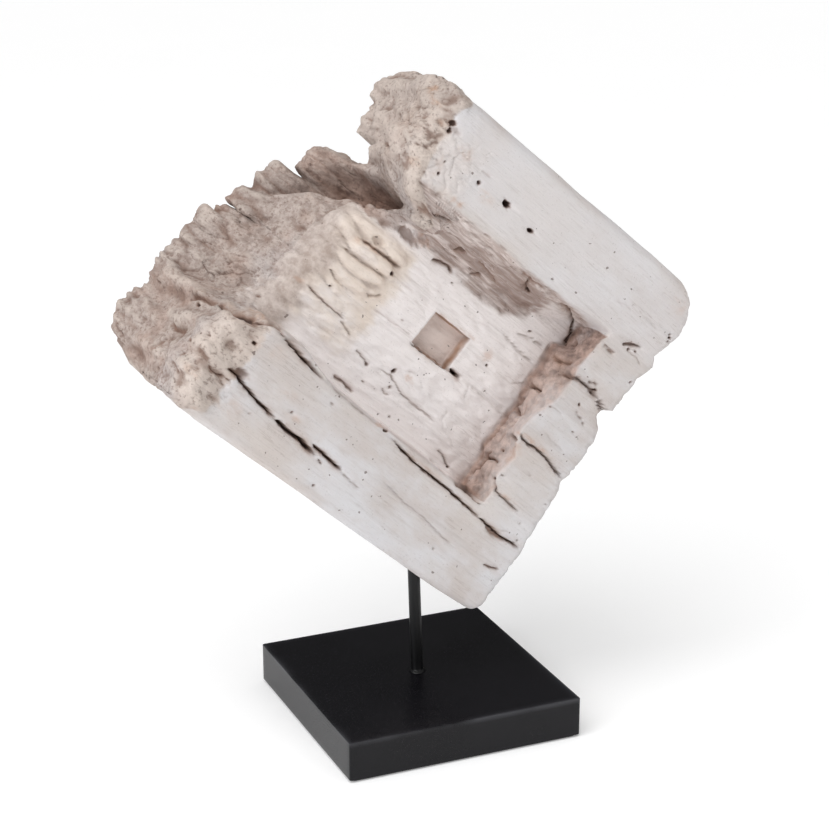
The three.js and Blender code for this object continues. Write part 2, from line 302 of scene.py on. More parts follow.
# %% One point for every column and row
def front_stops(u):
    """v of the long edges at u: corner, rail's inner edge, rail's foot, mortise, slope and corner."""
    foot = reading(RAIL_FOOT, u)
    low, high = MORTISE_V
    ends = HALF_WIDTH - EDGE_ROUND
    mortise = [low, low + JAMB, high - JAMB, high]
    slope = [reading(SLOPE_FOOT, u), reading(SLOPE_TOP, u)]
    return np.array([-ends, foot - RAIL_LEAN, foot, *mortise, *slope, ends])


def row_table():
    """For each row: its section along the grain, how far it is through it, how open the section is there
    (0 at the zipped end), and its turn round the end's rounded edge in radians."""
    shares = {name: np.arange(count) / count for name, count in ROW_COUNTS.items()}
    quarter_turn = math.pi / 2
    rows = [(WORN, 0.0, share, 0.0) for share in shares["cap"]]
    rows += [(WORN, 0.0, 1.0, quarter_turn * k / ROW_COUNTS["brow"]) for k in range(ROW_COUNTS["brow"])]
    for section, name in enumerate(SECTIONS):
        rows += [(section, share, 1.0, quarter_turn) for share in shares[name]]
    rows += [(BLOCKS, 1.0, 1.0, quarter_turn * (1 - share)) for share in shares["edge"]]
    rows += [(BLOCKS, 1.0, 1 - share, 0.0) for share in (*shares["end"], 1.0)]
    return np.array(rows)


rows = row_table()
section, way, opened, turn = rows[:, 0].astype(int), rows[:, 1], rows[:, 2], rows[:, 3]
mortise_stops = [MORTISE_U[0], MORTISE_U[0] + JAMB, MORTISE_U[1] - JAMB, MORTISE_U[1]]
ROUGH_U = np.array([-150, WORN_TO, *mortise_stops, 112, 118, 168])
rough_u = between(ROUGH_U, section, way)
rings = len(rows)
row_index = np.arange(rings)[:, None]
worn_end_rows = ROW_COUNTS["cap"] + ROW_COUNTS["brow"]
past_cap = row_index >= ROW_COUNTS["cap"]
at_cut_end = row_index >= rings - ROW_COUNTS["end"] - 3
print("rows:", rings)

# %% The section once round: the worked face, the upper side, the back and the lower side
front_v = np.stack([between(front_stops(u), part, share) for u in rough_u])
slope_rise = np.where(part == SLOPE, share, (part == HIGH_RAIL) * 1.0)
trough_parts = [part == LOW_RAIL, part == RAIL_WALL, part >= SLOPE]
trough_share = np.clip(np.select(trough_parts, [0, share, 1 - smooth(slope_rise, 0, 1)], 1.0), 0, 1)
mortise_parts = [part == LOW_JAMB, part == MORTISE, part == HIGH_JAMB]
mortise_column = np.select(mortise_parts, [share, 1.0, 1 - share], 0.0)
mortise_rows = [section == STEP, section == MORTISE_ROWS, section == STEP_BACK]
mortise_row = np.select(mortise_rows, [way, 1.0, 1 - way], 0.0)
wall_open = np.select([section == WALL, section == BLOCKS], [1 - way, 0.0], 1.0)

corner = math.pi / 2 * np.arange(1, CORNER + 1) / CORNER
side = np.linspace(1, -1, SIDE + 2)[1:-1]
corner_v = HALF_WIDTH - EDGE_ROUND + EDGE_ROUND * np.sin(corner)
corner_w = HALF_DEPTH - EDGE_ROUND + EDGE_ROUND * np.cos(corner)
side_v = np.concatenate([corner_v, np.full(SIDE, HALF_WIDTH), corner_v[::-1]])
side_w = np.concatenate([corner_w, side * (HALF_DEPTH - EDGE_ROUND), -corner_w[::-1]])
v = np.concatenate([front_v, np.tile(side_v, (rings, 1)), front_v[:, ::-1], np.tile(-side_v, (rings, 1))], 1)
FACE = np.r_[np.ones(FRONT), np.zeros(len(side_v)), -np.ones(FRONT), np.zeros(len(side_v))]
on_front = FACE > 0
columns = len(FACE)
nominal_w = np.concatenate([np.full(FRONT, HALF_DEPTH), side_w, np.full(FRONT, -HALF_DEPTH), -side_w])
sunk = np.zeros((rings, columns))
sunk[:, :FRONT] = TROUGH_DEPTH * trough_share * wall_open[:, None]
sunk[:, :FRONT] += MORTISE_DEPTH * mortise_column * mortise_row[:, None]
full_w = nominal_w - sunk
print("columns once round:", columns, "points:", rings * columns)

# %% [markdown]
# The ends need care, because a skin of rows and columns would pinch there. The rows shrink to a line instead
# of a point, round off over the edge on their way, and follow the outlines listed above. Behind the worked
# face the sound end is kept calmer, because the photograph does not show it.

# %% The ends: rounded edges, shrinking rows, and the places along the grain
def cut_end(v, w):
    """u of the sound end: its outline at the worked face, and behind that the outline's mean over 32 mm,
    with slow swells of 2 mm."""
    soft = sum(reading(CUT_END, v + shift) for shift in (-16, -8, 0, 8, 16)) / 5
    soft = soft + 2 * swell(v / 26, w / 30, 0.5, 171)
    behind = 1 - smooth(w, 16, 54)
    return reading(CUT_END, v) * (1 - behind) + soft * behind


share_of_trough = np.zeros(columns)
share_of_trough[:FRONT] = trough_share
end_round = np.where(section[:, None] < STEP_BACK, WORN_ROUND, CUT_ROUND)
reach = np.where(FACE == 0, HALF_DEPTH, np.abs(full_w))
squeeze = (reach - end_round * (1 - np.sin(turn)[:, None])) / reach * opened[:, None]
inset = end_round * (1 - np.cos(turn)[:, None])
w = full_w * squeeze
foot_u = WALL_OUTSIDE[0] + share_of_trough * (reading(WALL_FOOT, v) - WALL_OUTSIDE[0])
top_u = WALL_OUTSIDE[1] + share_of_trough * (reading(WALL_TOP, v) - WALL_OUTSIDE[1])
stops_u = np.stack([
    worn_end(v, w) + inset,
    *(np.full(v.shape, x) for x in ROUGH_U[1:6]),
    foot_u,
    top_u,
    cut_end(v, w) - inset,
])
column_index = np.arange(columns)[None, :]
u = stops_u[section[:, None], row_index, column_index] * (1 - way[:, None])
u += stops_u[section[:, None] + 1, row_index, column_index] * way[:, None]
v = v * np.where(v > 0, reading(HIGH_EDGE, u), -reading(LOW_EDGE, u)) / HALF_WIDTH
print("plain skin: u", u.min().round(), u.max().round(), "v", v.min().round(), v.max().round())

# %% [markdown]
# A grid only becomes a mesh when its points are joined. Each four neighbours make two triangles. Front and
# back meet on one line at each end, so a point of the back has the number of its twin on the front there,
# and the triangles that this leaves without any width are dropped.

# %% Joining the points into a closed skin
first_high = FRONT + CORNER - 1
twin = np.arange(columns)
twin[FRONT + CORNER:FRONT + CORNER + SIDE] = first_high
twin[FRONT + CORNER + SIDE:FRONT + len(side_v)] = first_high - np.arange(CORNER)
twin[FRONT + len(side_v):2 * FRONT + len(side_v)] = np.arange(FRONT)[::-1]
low_from = 2 * FRONT + len(side_v)
twin[low_from:low_from + CORNER] = low_from + len(side_v) - 1 - np.arange(CORNER)
twin[low_from + CORNER:low_from + CORNER + SIDE] = low_from + CORNER + SIDE
number = row_index * columns + column_index
number[0] = twin
number[-1] = (rings - 1) * columns + twin
ahead = np.roll(number, -1, axis=1)
quads = np.stack([number[:-1], number[1:], ahead[1:], ahead[:-1]], -1).reshape(-1, 4)
triangles = np.concatenate([quads[:, [0, 1, 2]], quads[:, [0, 2, 3]]])
open_faces = (triangles[:, 0] != triangles[:, 1]) & (triangles[:, 1] != triangles[:, 2])
triangles = triangles[open_faces & (triangles[:, 2] != triangles[:, 0])]
print("triangles in the fine skin:", len(triangles))


# %% Which way each point faces
def facing(u, v, w):
    """Unit normals from the steps to the neighbours along the rows and round the columns, crossed."""
    place = np.stack([u, v, w], -1)
    along = np.gradient(place, axis=0)
    around = np.roll(place, -1, axis=1) - np.roll(place, 1, axis=1)
    normal = np.cross(along, around)
    length = np.linalg.norm(normal, axis=-1, keepdims=True)
    normal = np.where(length > 1e-9, normal / np.maximum(length, 1e-9), 0)
    normal[0] = [-1, 0, 0]
    normal[-1] = [1, 0, 0]
    return normal


def spread(field, reach):
    """A field blurred over the grid: a running mean, twice, round the columns and along the rows."""
    for _ in range(2):
        field = sum(np.roll(field, k, axis=1) for k in range(-reach, reach + 1)) / (2 * reach + 1)
        padded = np.pad(field, ((reach, reach), (0, 0)), mode="edge")
        field = sum(padded[k:k + len(field)] for k in range(2 * reach + 1)) / (2 * reach + 1)
    return field


plain_normal = facing(u, v, w)
plain_normal = np.stack([spread(plain_normal[..., k], 2) for k in range(3)], -1)
length = np.linalg.norm(plain_normal, axis=-1)
plain_normal /= np.maximum(length, 1e-6)[..., None]
steady = spread(smooth(length, 0.72, 0.97), 2)
print("the middle of the trough's floor faces", plain_normal[200, 120].round(2))

# %% [markdown]
# Old wood does not crack at random. Drying opens long splits along the grain, insects leave round holes,
# and tools leave short ticks. The photographed face shows where each one is, so they are listed as short
# lines on the sheet, with a width, a depth and how much dirt has settled in them. A groove is deepest on
# its line and fades towards both ends.

# %% Splits, grooves and ticks in the worked face
# Each is a list of places on the sheet, then its width and depth in millimetres and its dirt from 0 to 1
GROOVES = [
    ([(-128, -112), (-118, -111), (-109, -114), (-95, -117), (-82, -118.5), (-70, -121)], 2.6, 12, 1),
    ([(-72, -121), (-55, -122.2), (-41, -122.2), (-25, -125)], 4.4, 14, 1),
    ([(-23, -126), (-17, -126.5)], 1.6, 2.5, 0.8),
    ([(-34, -119), (-20, -120.3), (1, -122.5)], 3.2, 9, 1),
    ([(0, -122.5), (10, -124), (22, -125)], 1.1, 1.6, 0.6),
    ([(-133, -70), (-120, -66.5), (-113, -66), (-104, -67.5)], 1.8, 5, 1),
    ([(-106, -67), (-98, -69), (-85, -72), (-75, -73), (-60, -75.5)], 2.8, 10, 1),
    ([(-192, -89), (-178, -82), (-163, -75)], 7, 5, 0.65),
    ([(-168, -76.5), (-150, -76), (-140, -73), (-132, -69)], 4, 7, 1),
    ([(16, -79.5), (30, -82), (40, -83), (60, -84.3), (80, -84.8), (100, -86), (115, -87), (128, -88.5)],
     2, 9, 1),
    ([(122, -87.6), (137, -88.6), (147, -89), (155, -89), (172, -88.5)], 2.2, 9, 1),
    ([(132, -90), (145, -91.5), (158, -90)], 4.5, 5, 0.6),
    ([(30, -109), (45, -111), (60, -113), (85, -113.3), (100, -116), (128, -118.5)], 1, 1.4, 0.45),
    ([(152, -115), (160, -114), (168, -111)], 1.8, 3, 0.8),
    ([(98, 36), (105, 41.5), (112, 44), (120, 45), (133, 45.3), (146, 43.5)], 3, 10, 0.8),
    ([(145, 43.5), (151, 40), (156, 37)], 4.4, 5, 0.6),
    ([(126, 48), (133, 51), (136, 52)], 2, 3, 0.7),
    ([(97, -21.5), (107, -22.5)], 3, 14, 1),
    ([(105, -15), (111, -18.3), (120, -19), (127, -17.5), (142, -18.8), (150, -21), (164, -23.5)],
     1.9, 9, 0.72),
    ([(111, -56), (115, -60), (121, -63), (130, -64), (150, -65.5)], 1.7, 5, 0.62),
    ([(116, 79.5), (124, 79), (131, 79.5)], 3.2, 4, 0.7),
    ([(131, 89), (139, 94), (147, 97)], 3.2, 5, 0.6),
    ([(133, 24.5), (140, 23), (149, 21)], 2, 2.5, 0.6),
    ([(137, 87.5), (150, 88.2), (158, 85)], 1, 1, 0.5),
    ([(60, 81.5), (75, 80.5), (82, 77), (86, 71), (87, 63), (92, 55)], 2.6, 5, 0.9),
    ([(-88, 64.5), (-74, 69), (-62, 74), (-50, 74.5)], 2.4, 2.5, 0.8),
    ([(-42, 60), (-36, 63), (-29, 65)], 2.4, 2.5, 0.8),
    ([(-22, 66.5), (-5, 64), (12, 61)], 2.2, 2.5, 0.7),
    ([(-16, 52), (-12, 55), (-7, 58.5)], 2.4, 3, 0.8),
    ([(17, 80.5), (28, 80.5), (45, 83)], 1.8, 2.2, 0.7),
    ([(27, 80), (29, 73), (33, 71.5)], 2.8, 4, 0.9),
    ([(-27, 84.5), (-19, 86)], 1.4, 1, 0.6),
    ([(-12, 85.8), (-3, 85.8)], 1.4, 1.2, 0.6),
    ([(-50, 44.5), (-42, 47), (-34, 48.3), (-26, 46.5)], 3, 4, 0.75),
    ([(-22, -13.4), (-8, -13.4), (20, -13)], 3, 4, 1),
    ([(17, -12), (26, -11), (34, -11.8)], 4, 12, 1),
    ([(-66, -11.5), (-45, -10.5), (-20, -9)], 0.9, 1.2, 0.5),
    ([(42, -10), (60, -11.5), (88, -13.5)], 0.9, 1.2, 0.4),
    ([(43, -10), (44, -16), (47, -23)], 0.9, 1, 0.35),
    ([(60, 10), (72, 10), (80, 16), (88, 22)], 1, 1.2, 0.5),
    ([(46, 42), (54, 44.5), (67, 47), (76, 47.5)], 1.4, 2, 0.6),
    ([(35, 36), (50, 34.5), (63, 33), (92, 32.5), (101, 36.5)], 1.2, 2, 0.5),
    ([(-56, -68.5), (-45, -68.7), (-32, -70)], 3, 3, 0.75),
    ([(54, -65), (64, -67), (73, -71)], 1.8, 3, 0.7),
    ([(52, -74), (65, -75), (78, -77)], 1.4, 1.5, 0.5),
    ([(-55, -42.5), (-45, -45), (-37, -47)], 1.6, 3, 0.7),
    ([(-32, -46), (-24, -43.5), (-15, -43), (-8, -46), (0, -48.6), (20, -49), (42, -49.5)], 1.4, 2.2, 0.7),
    ([(-17, -54), (-12, -56), (-7, -55.5)], 1.4, 2, 0.7),
    ([(-12, -49), (-10, -51.5)], 2, 2.5, 0.8),
    ([(-9, -33), (-2, -30.5), (6, -31.5), (14, -36)], 1, 1, 0.3),
    ([(-10, -35.5), (-3, -40), (6, -42)], 1, 1, 0.3),
    ([(38, -33), (42, -38), (42, -45), (47, -50), (60, -53), (66, -58)], 1, 1, 0.3),
    ([(-70, 18), (-55, 17.5), (-40, 17.5)], 0.9, 1, 0.4),
    ([(-40, 14), (-28, 12), (-20, 5)], 0.8, 0.8, 0.25),
    ([(-65, -22), (-56, -19.5), (-50, -20)], 1, 0.8, 0.3),
    ([(-108, 23), (-90, 23.5), (-63, 25.5)], 3.2, 5, 0.7),
    ([(-118, 9.5), (-105, 9.5), (-88, 10.5), (-68, 12.5)], 1.6, 2.5, 0.45),
    ([(-112, -8), (-103, -11.5), (-92, -12.5)], 1.5, 2, 0.4),
    ([(-119, -27), (-112, -29), (-90, -30.2), (-75, -31)], 1.7, 3, 0.7),
    ([(-80, -33), (-72, -35), (-64, -38)], 1.6, 3, 0.6),
    ([(-78, -5), (-73, -6.5), (-68, -3), (-64, 1)], 1.6, 2.5, 0.45),
    ([(83, 17.5), (90, 18.5), (98, 20)], 3, 7, 1),
    ([(87, 8), (88.5, 2), (86.5, -1)], 2, 5, 0.9),
    ([(87, -1.5), (93.5, -6)], 2.8, 9, 1),
    ([(86, 8), (86.5, -5), (87, -22), (87.5, -36)], 1.4, 2.5, 0.8),
    ([(94, -36), (93, -50), (91.5, -66)], 1.8, 3, 0.8),
    ([(92, -50), (94, -46.5), (98, -45), (106, -44)], 2.4, 5, 0.9),
    ([(85.5, -8), (86.5, -22), (87, -35)], 1.4, 2, 0.6),
    ([(93, 12), (94.5, -6), (93.5, -22), (94, -38)], 1.6, 2, 0.5),
    ([(102, 70), (107, 75), (114, 78.5)], 1.2, 1.2, 0.4),
    ([(84, 46), (97, 47.5), (105, 53.5)], 5, 4, 0.75),
    ([(77, 55), (78, 50), (82, 41), (83, 30)], 4, 2, 0.45),
    ([(84, -77.6), (100, -77), (119, -78.3)], 2.2, 4, 1),
    ([(-60, -75), (-30, -76.5), (8, -77.5)], 1.2, 2, 0.5),
    ([(124, -4), (137, -5), (150, -6)], 0.9, 1, 0.35),
    ([(112, 15), (118, 16.5), (126, 16.5)], 1, 1, 0.4),
    ([(146, -86), (150, -84), (154, -82)], 1, 1, 0.5),
    ([(101, 112), (112, 114), (118, 113.5)], 1, 0.8, 0.3),
    ([(140, 115.5), (148, 115)], 1, 0.8, 0.4),
    ([(-61, 119.5), (-50, 120)], 1.2, 1, 0.5),
    ([(-93, -129.5), (-89, -127)], 1.4, 1, 0.6),
    ([(-158, -112), (-150, -113.5), (-142, -115)], 5, 3.5, 0.45),
    ([(-141, -117.5), (-136, -120), (-130, -119.5), (-124, -117)], 2.4, 4, 0.8),
    ([(-124, -118), (-119, -116.5)], 2.2, 3, 0.7),
    ([(-162.5, -125), (-161.5, -120)], 2, 3, 0.8),
    ([(-166, -130), (-161, -133), (-158, -136)], 4, 3, 0.4),
    ([(-182, -121), (-182.5, -130), (-187, -137), (-194, -142)], 3, 2, 0.45),
    ([(-218, -128), (-213, -124), (-207, -120)], 2.4, 3, 0.5),
    ([(-185, -106), (-180, -110), (-173, -108), (-171, -115)], 4, 4, 0.6),
    ([(-206, -10.5), (-198, -11.5), (-187, -12)], 6, 11, 1),
    ([(-205, -30), (-196, -28), (-184, -22.5)], 5, 6, 0.7),
    ([(-209, -39.5), (-200, -39), (-190, -37)], 4, 5, 0.65),
    ([(-203, -100.5), (-194, -100.5)], 4.5, 5, 0.8),
    ([(-206, -87), (-203, -93), (-202, -99)], 3, 3, 0.5),
    ([(-171, 22), (-164, 24), (-156, 18)], 9, 7, 0.55),
    ([(-175, 35.5), (-168, 36), (-164, 38)], 4, 5, 0.7),
]

# %% Holes, pits and hollows
# Each is a place on the sheet, then its half length, half height and depth, and its dirt
HOLES = [
    (-27, 112.3, 3.8, 2.6, 9, 1.3), (3, 109, 3.2, 1.8, 6, 1.1), (-56.5, 111, 2, 1.6, 4, 0.9),
    (-88, 96.5, 1.2, 1.5, 4, 1.1), (-90, 106, 1, 1.2, 2, 0.7), (-103.5, 131.5, 3.2, 2.4, 7, 1.2),
    (-101.5, 126, 2.2, 2.4, 6, 1), (-98, 128.5, 6, 3, 2.5, 0.3), (54, 154, 1.3, 0.9, 2, 0.9),
    (105, 155.5, 1.6, 0.8, 1.5, 0.5), (162.5, 117, 1.8, 1.1, 3, 1), (160.5, 119, 1.2, 1, 2, 0.7),
    (163.5, 114, 1.2, 1, 2, 0.7), (159, 70, 1, 0.8, 2, 1), (133, 31, 1.6, 1, 3, 1.1),
    (144, 11, 1.3, 0.8, 2, 0.8), (126, 24, 1.4, 0.9, 1.5, 0.5), (137, 47.3, 2, 1.2, 4, 1.3),
    (-157.5, 118, 1.6, 1.2, 3, 1), (-147, 114.3, 1.1, 1, 2.5, 1), (-135.5, 143, 1.4, 1, 3, 1),
    (-162.5, -23, 1.1, 1, 3, 1), (-165, -53, 1.3, 1.1, 3, 1), (-143, -57, 1.4, 2, 4, 0.8),
    (-134, -38, 1.4, 1, 3, 0.8), (-122.5, -85, 1.9, 1.2, 4, 1.2), (-64.5, -109, 1, 0.9, 2, 0.9),
    (-12, -143.5, 1.3, 1.2, 2.5, 0.8), (-55, -152, 1.6, 2, 2, 0.5), (-42, -86, 2.4, 1, 1.5, 0.5),
    (107, -128.5, 1.4, 1, 1.5, 0.5), (4, -67.5, 1.1, 0.9, 3, 0.9), (-32, -59, 1.8, 0.8, 2, 0.7),
    (-23, 41, 1.1, 0.9, 2.5, 0.9), (44.5, 9, 1.3, 0.9, 3, 1), (56.5, 50, 2, 0.8, 2.5, 1),
    (-37.5, -4.5, 1.4, 1, 1.5, 0.5), (43.5, 92, 1.1, 0.8, 2, 0.9), (-70, 17.5, 3, 2, 5, 1),
    (-103, -18, 1.1, 1, 3, 0.9), (-110, -8.5, 1, 1, 2.5, 0.9), (-17, -38, 1.7, 2.4, 4, 0.9),
    (-39, -47, 2, 1.4, 3, 0.8), (72, -71, 1.6, 1.2, 3, 1), (8.5, -77.5, 2.2, 1.3, 4, 1.2),
    (101, -35, 1.3, 1, 3, 0.9), (111.5, -56, 1.4, 1.1, 3, 1), (94, 66, 1.6, 3, 3, 0.7),
    (112.5, 15, 1.2, 1, 2, 0.8), (116, -50.5, 1.3, 0.8, 2, 0.6), (118, 48.5, 1.2, 0.8, 2, 0.8),
    (145, 91, 1.2, 1, 3, 0.8), (138.5, 88.5, 1.2, 1.8, 3, 0.8), (136.5, 95, 1, 0.8, 1.5, 0.7),
    (-76, 46.5, 12, 3.8, 7, 0.47), (-67, 51, 9, 3.5, 5, 0.4), (-115, -108, 7, 4, 6, 0.42),
    (-119, -111, 8, 2, 5, 0.45), (33, 71.5, 2.6, 1.4, 5, 1.2), (-5, 69, 2.4, 1.2, 2.5, 0.7),
    (-44, 58, 1.6, 0.8, 2, 0.7), (-10, 58, 2, 1.2, 4, 0.9), (-94, 30, 7, 4, 3, 0.3),
    (-177, -87, 2, 1.6, 3, 0.9), (-155, -100, 1.5, 1.2, 2.5, 0.5), (-168, -132.5, 1.2, 1, 2, 0.6),
    (-211, -58, 1.5, 1.3, 2, 0.6), (-162, -110.5, 1.8, 1, 3, 0.8), (-132, -71, 1.4, 2.6, 4, 1),
    (-109.5, 10, 1.8, 0.9, 3, 0.8), (-172, 6, 4, 3, 2.5, 0.35), (-135, 88, 3, 1.4, 3, 0.7),
    (-127, 44, 9, 3.5, 5, 0.85), (-121, 63, 7, 4, 5, 0.75), (-140, 52, 5, 3, 4, 0.6),
    (-131, 57, 4, 2.5, 3, 0.6), (164, -84, 1, 0.9, 2, 0.7), (157, -72, 1.6, 1, 1.5, 0.4),
    (137, -37, 1.8, 1.2, 1.2, 0.35), (165, -47.5, 1.4, 0.8, 1.5, 0.5),
]

# %% Splits in the faces that the photograph hides
# Lines in u and v on the back, in u and w on the two sides, and in v and w on the sound end. After each
# line come its width and its depth.
BACK_SPLITS = [
    ([(-160, -94), (-90, -98), (-20, -93), (40, -97)], 3, 10),
    ([(-196, -20), (-130, -24), (-70, -19), (-25, -23)], 4, 12),
    ([(10, 60), (80, 55), (140, 58), (168, 57)], 3, 9), ([(-70, 110), (-10, 114), (30, 111)], 1.8, 4),
    ([(50, -40), (110, -44), (168, -42)], 2.6, 8), ([(-130, 30), (-80, 33), (-30, 29)], 1.6, 3),
    ([(-10, -130), (60, -127), (120, -131)], 1.4, 2.5), ([(-20, 8), (40, 12), (70, 10)], 1.4, 2.5),
    ([(60, 130), (120, 126), (150, 128)], 1.8, 4), ([(-128, 70), (-110, 74), (-80, 73)], 2.4, 6),
]
UPPER_SPLITS = [
    ([(-98, 18), (-50, 16), (20, 22), (60, 18)], 3, 9), ([(40, -30), (90, -27), (150, -32)], 3.4, 10),
    ([(-108, -40), (-84, -38), (-50, -42)], 2, 6), ([(80, 34), (120, 38), (148, 37)], 1.6, 4),
]
LOWER_SPLITS = [
    ([(-140, -30), (-100, -26), (-60, -31)], 3, 9), ([(-20, 12), (50, 8), (120, 14), (168, 11)], 2.6, 8),
    ([(30, -42), (80, -45), (130, -40)], 1.6, 4), ([(-120, 30), (-70, 34), (-30, 32)], 1.6, 3),
]
END_CHECKS = [
    ([(-96, 6), (-70, 3), (-44, 9), (-22, 8)], 3.2, 7),
    ([(-12, -12), (14, -17), (40, -15), (62, -24)], 3, 6),
    ([(36, 16), (58, 21), (88, 30)], 2.6, 5), ([(-60, -28), (-40, -31), (-18, -40)], 2, 4),
]
print(len(GROOVES), "grooves and", len(HOLES), "holes and hollows are listed")

# %% [markdown]
# Now the plain skin is worn. Each kind of wear is a height that is added along the way a point faces:
# long swells and fibres everywhere, knobs with creases between them where rot has been, flakes on the
# trough's upper slope, finger-like lumps at the trough's open end, and last the marks listed above. A soft
# mask says where each kind belongs, and its border is shifted by noise so that it never runs straight.
# Here q and s are places on the sheet, along the grain and across it, and all lengths are millimetres.

# %% Where each kind of wear belongs
q, s = on_sheet(u, v, w)
front = spread(np.where(on_front, 1.0, 0.0) * np.ones_like(u), 2)
rail_front = smooth(w, 42, 56) * front
drift = 7 * layers(u / 30, v / 22, w / 26, 11, 3)
WORN_BORDER = [[-156, -122], [-90, -120], [-76, -122], [-66, -122], [-50, -132], [20, -130], [44, -104],
               [62, -92], [74, -112], [86, -120], [156, -120]]
border = reading(WORN_BORDER, s)
drift += 5 * layers(u / 11, v / 7, w / 9, 14, 2)
worn = np.where(on_front, 1 - smooth(q + drift, border - 9, border + 11), 0)
from_end = (u - worn_end(v, w)) / (1 + 1.6 * (1 - smooth(w, -20, 50)))
worn = np.maximum(worn, 1 - smooth(from_end + drift, 2, 22))
worn[:worn_end_rows] = 1
lip = smooth(q + 1.4 * drift, -166, -128) * smooth(s + drift, -76, -62) * (1 - smooth(s, 34, 48)) * front
worn = spread(worn * (1 - lip), 1)
in_cavity = cavity(v, w) * (1 - smooth(from_end, 1, 9)) * worn
in_mortise = np.zeros_like(u)
in_mortise[:, :FRONT] = mortise_column * mortise_row[:, None]
in_trough = spread(np.clip(sunk / TROUGH_DEPTH, 0, 1), 1)
fingers = (1 - smooth(q + 0.7 * drift, -64, -52)) * smooth(q, -142, -122)
fingers *= smooth(s + drift, -58, -36) * (1 - smooth(s, 34, 44)) * front * smooth(in_trough, 0.3, 0.7)
FIBROUS_LOW = [(-90, 50), (-30, 48), (0, 45), (25, 47), (40, 54), (60, 60), (80, 66)]
slope_low = reading(FIBROUS_LOW, q) + 0.5 * drift
fibrous = smooth(s, slope_low - 7, slope_low + 9) * (1 - smooth(s, 82, 89)) * front
fibrous *= smooth(q, -110, -88) * (1 - smooth(q, 88, 104))
fibrous *= 1 - 0.7 * smooth(q + drift, 40, 56) * (1 - smooth(s, 76, 84))
creamy = (1 - smooth(q + drift, -78, -52)) * smooth(s, 78, 88) * (1 - smooth(s + drift, 122, 136)) * front
hewn_wall = np.zeros_like(u)
WALL_PALER_UP = [(-80, 0.1), (-60, 0.3), (-50, 0.5), (-20, 0.6), (10, 0.5), (30, 0.35), (45, 0.1), (90, 0)]
paler_up = reading(WALL_PALER_UP, s)
hewn_wall[:, :FRONT] = np.where(section[:, None] == WALL, 1.0, 0.0) * (trough_share > 0.5)
hewn_wall = spread(hewn_wall * (1 - paler_up * np.clip(way * 1.15, 0, 1)[:, None]), 1)
print("share of the skin that is worn:", worn.mean().round(2), "fibrous:", fibrous.mean().round(3))

# %% Swells, fibres, knobs and flakes
FINGER_CREASES = np.array([-46, -33, -20, -9.5, 1, 12, 25, 38.0])
FINGER_ENDS = np.array([-70, -78, -84, -72, -66, -63, -61.0])
FINGER_HEIGHTS = np.array([2.0, 3.0, 2.2, 3.6, 5.0, 5.4, 3.4])
long_swell = 1.1 * layers(u / 75, v / 42, w / 42, 21, 2)
fibre = 0.22 * layers(u / 46, v / 3.6, w / 3.6, 31, 2) * (0.3 + 0.7 * front)
tool_marks = 0.55 * layers(u / 19, v / 15, w / 15, 41, 2) * in_trough * (1 - fibrous)

bend_u = u + 5 * swell(u / 17, v / 13, w / 15, 51)
bend_v = v + 4 * swell(u / 15, v / 12, w / 16, 52)
bend_w = w + 4 * swell(u / 16, v / 14, w / 15, 53)
near, next_near = cells(bend_u / 19, bend_v / 10.5, bend_w / 15, 61)
knob = 1.4 * (0.55 - near) - 1.8 * (1 - smooth(next_near - near, 0.0, 0.1))
rot = 5.0 * layers(u / 48, v / 19, w / 26, 71, 2, 0.42) + 0.42 * layers(u / 6.5, v / 2.6, w / 3.6, 75, 2)
rot += knob * smooth(swell(u / 45, v / 30, w / 30, 76), -0.1, 0.5)
rot += 0.8 * swell(bend_u / 26, bend_v / 4.2, bend_w / 8, 78)
splinter = 1 - smooth(np.abs(swell(bend_u / 50, bend_v / 10, bend_w / 22, 73)), 0.0, 0.05)
rot -= 2.0 * splinter * smooth(swell(u / 30, v / 22, w / 22, 74), 0.0, 0.4)
fin_wave = np.abs(swell(u / 60, v / 7.5, w / 34, 77))
fin_place = (1 - smooth(w, -54, -22)) * (1 - smooth(u, -120, -95))
fins = 7.0 * fin_wave * fin_place

finger_s = s + 4.5 * swell(q / 24, s / 26, 0.5, 81) + 0.1 * (q + 90)
which = np.clip(np.searchsorted(FINGER_CREASES, finger_s) - 1, 0, len(FINGER_ENDS) - 1)
gap = FINGER_CREASES[which + 1] - FINGER_CREASES[which]
in_finger = np.clip((finger_s - FINGER_CREASES[which]) / gap, 0, 1)
tip = FINGER_ENDS[which] - 7 * (2 * in_finger - 1) ** 2
finger = FINGER_HEIGHTS[which] * np.sqrt(np.sin(math.pi * in_finger) + 0.02) * (1 - smooth(q, tip - 9, tip))
finger += 1.1 * layers(u / 15, v / 6, w / 12, 82, 3)
flake_edge = 1 - smooth(np.abs(swell(u / 30, v / 5, w / 8, 95)), 0.0, 0.1)
flake = 1.7 * layers(u / 30, v / 4.6, w / 7, 91, 3) - 1.5 * flake_edge
flake += 2.2 * swell(u / 16, v / 9, w / 12, 97)
plaster = (1.0 * layers(u / 14, v / 8, w / 8, 101, 4, 0.6) + 0.5 * knob) * creamy

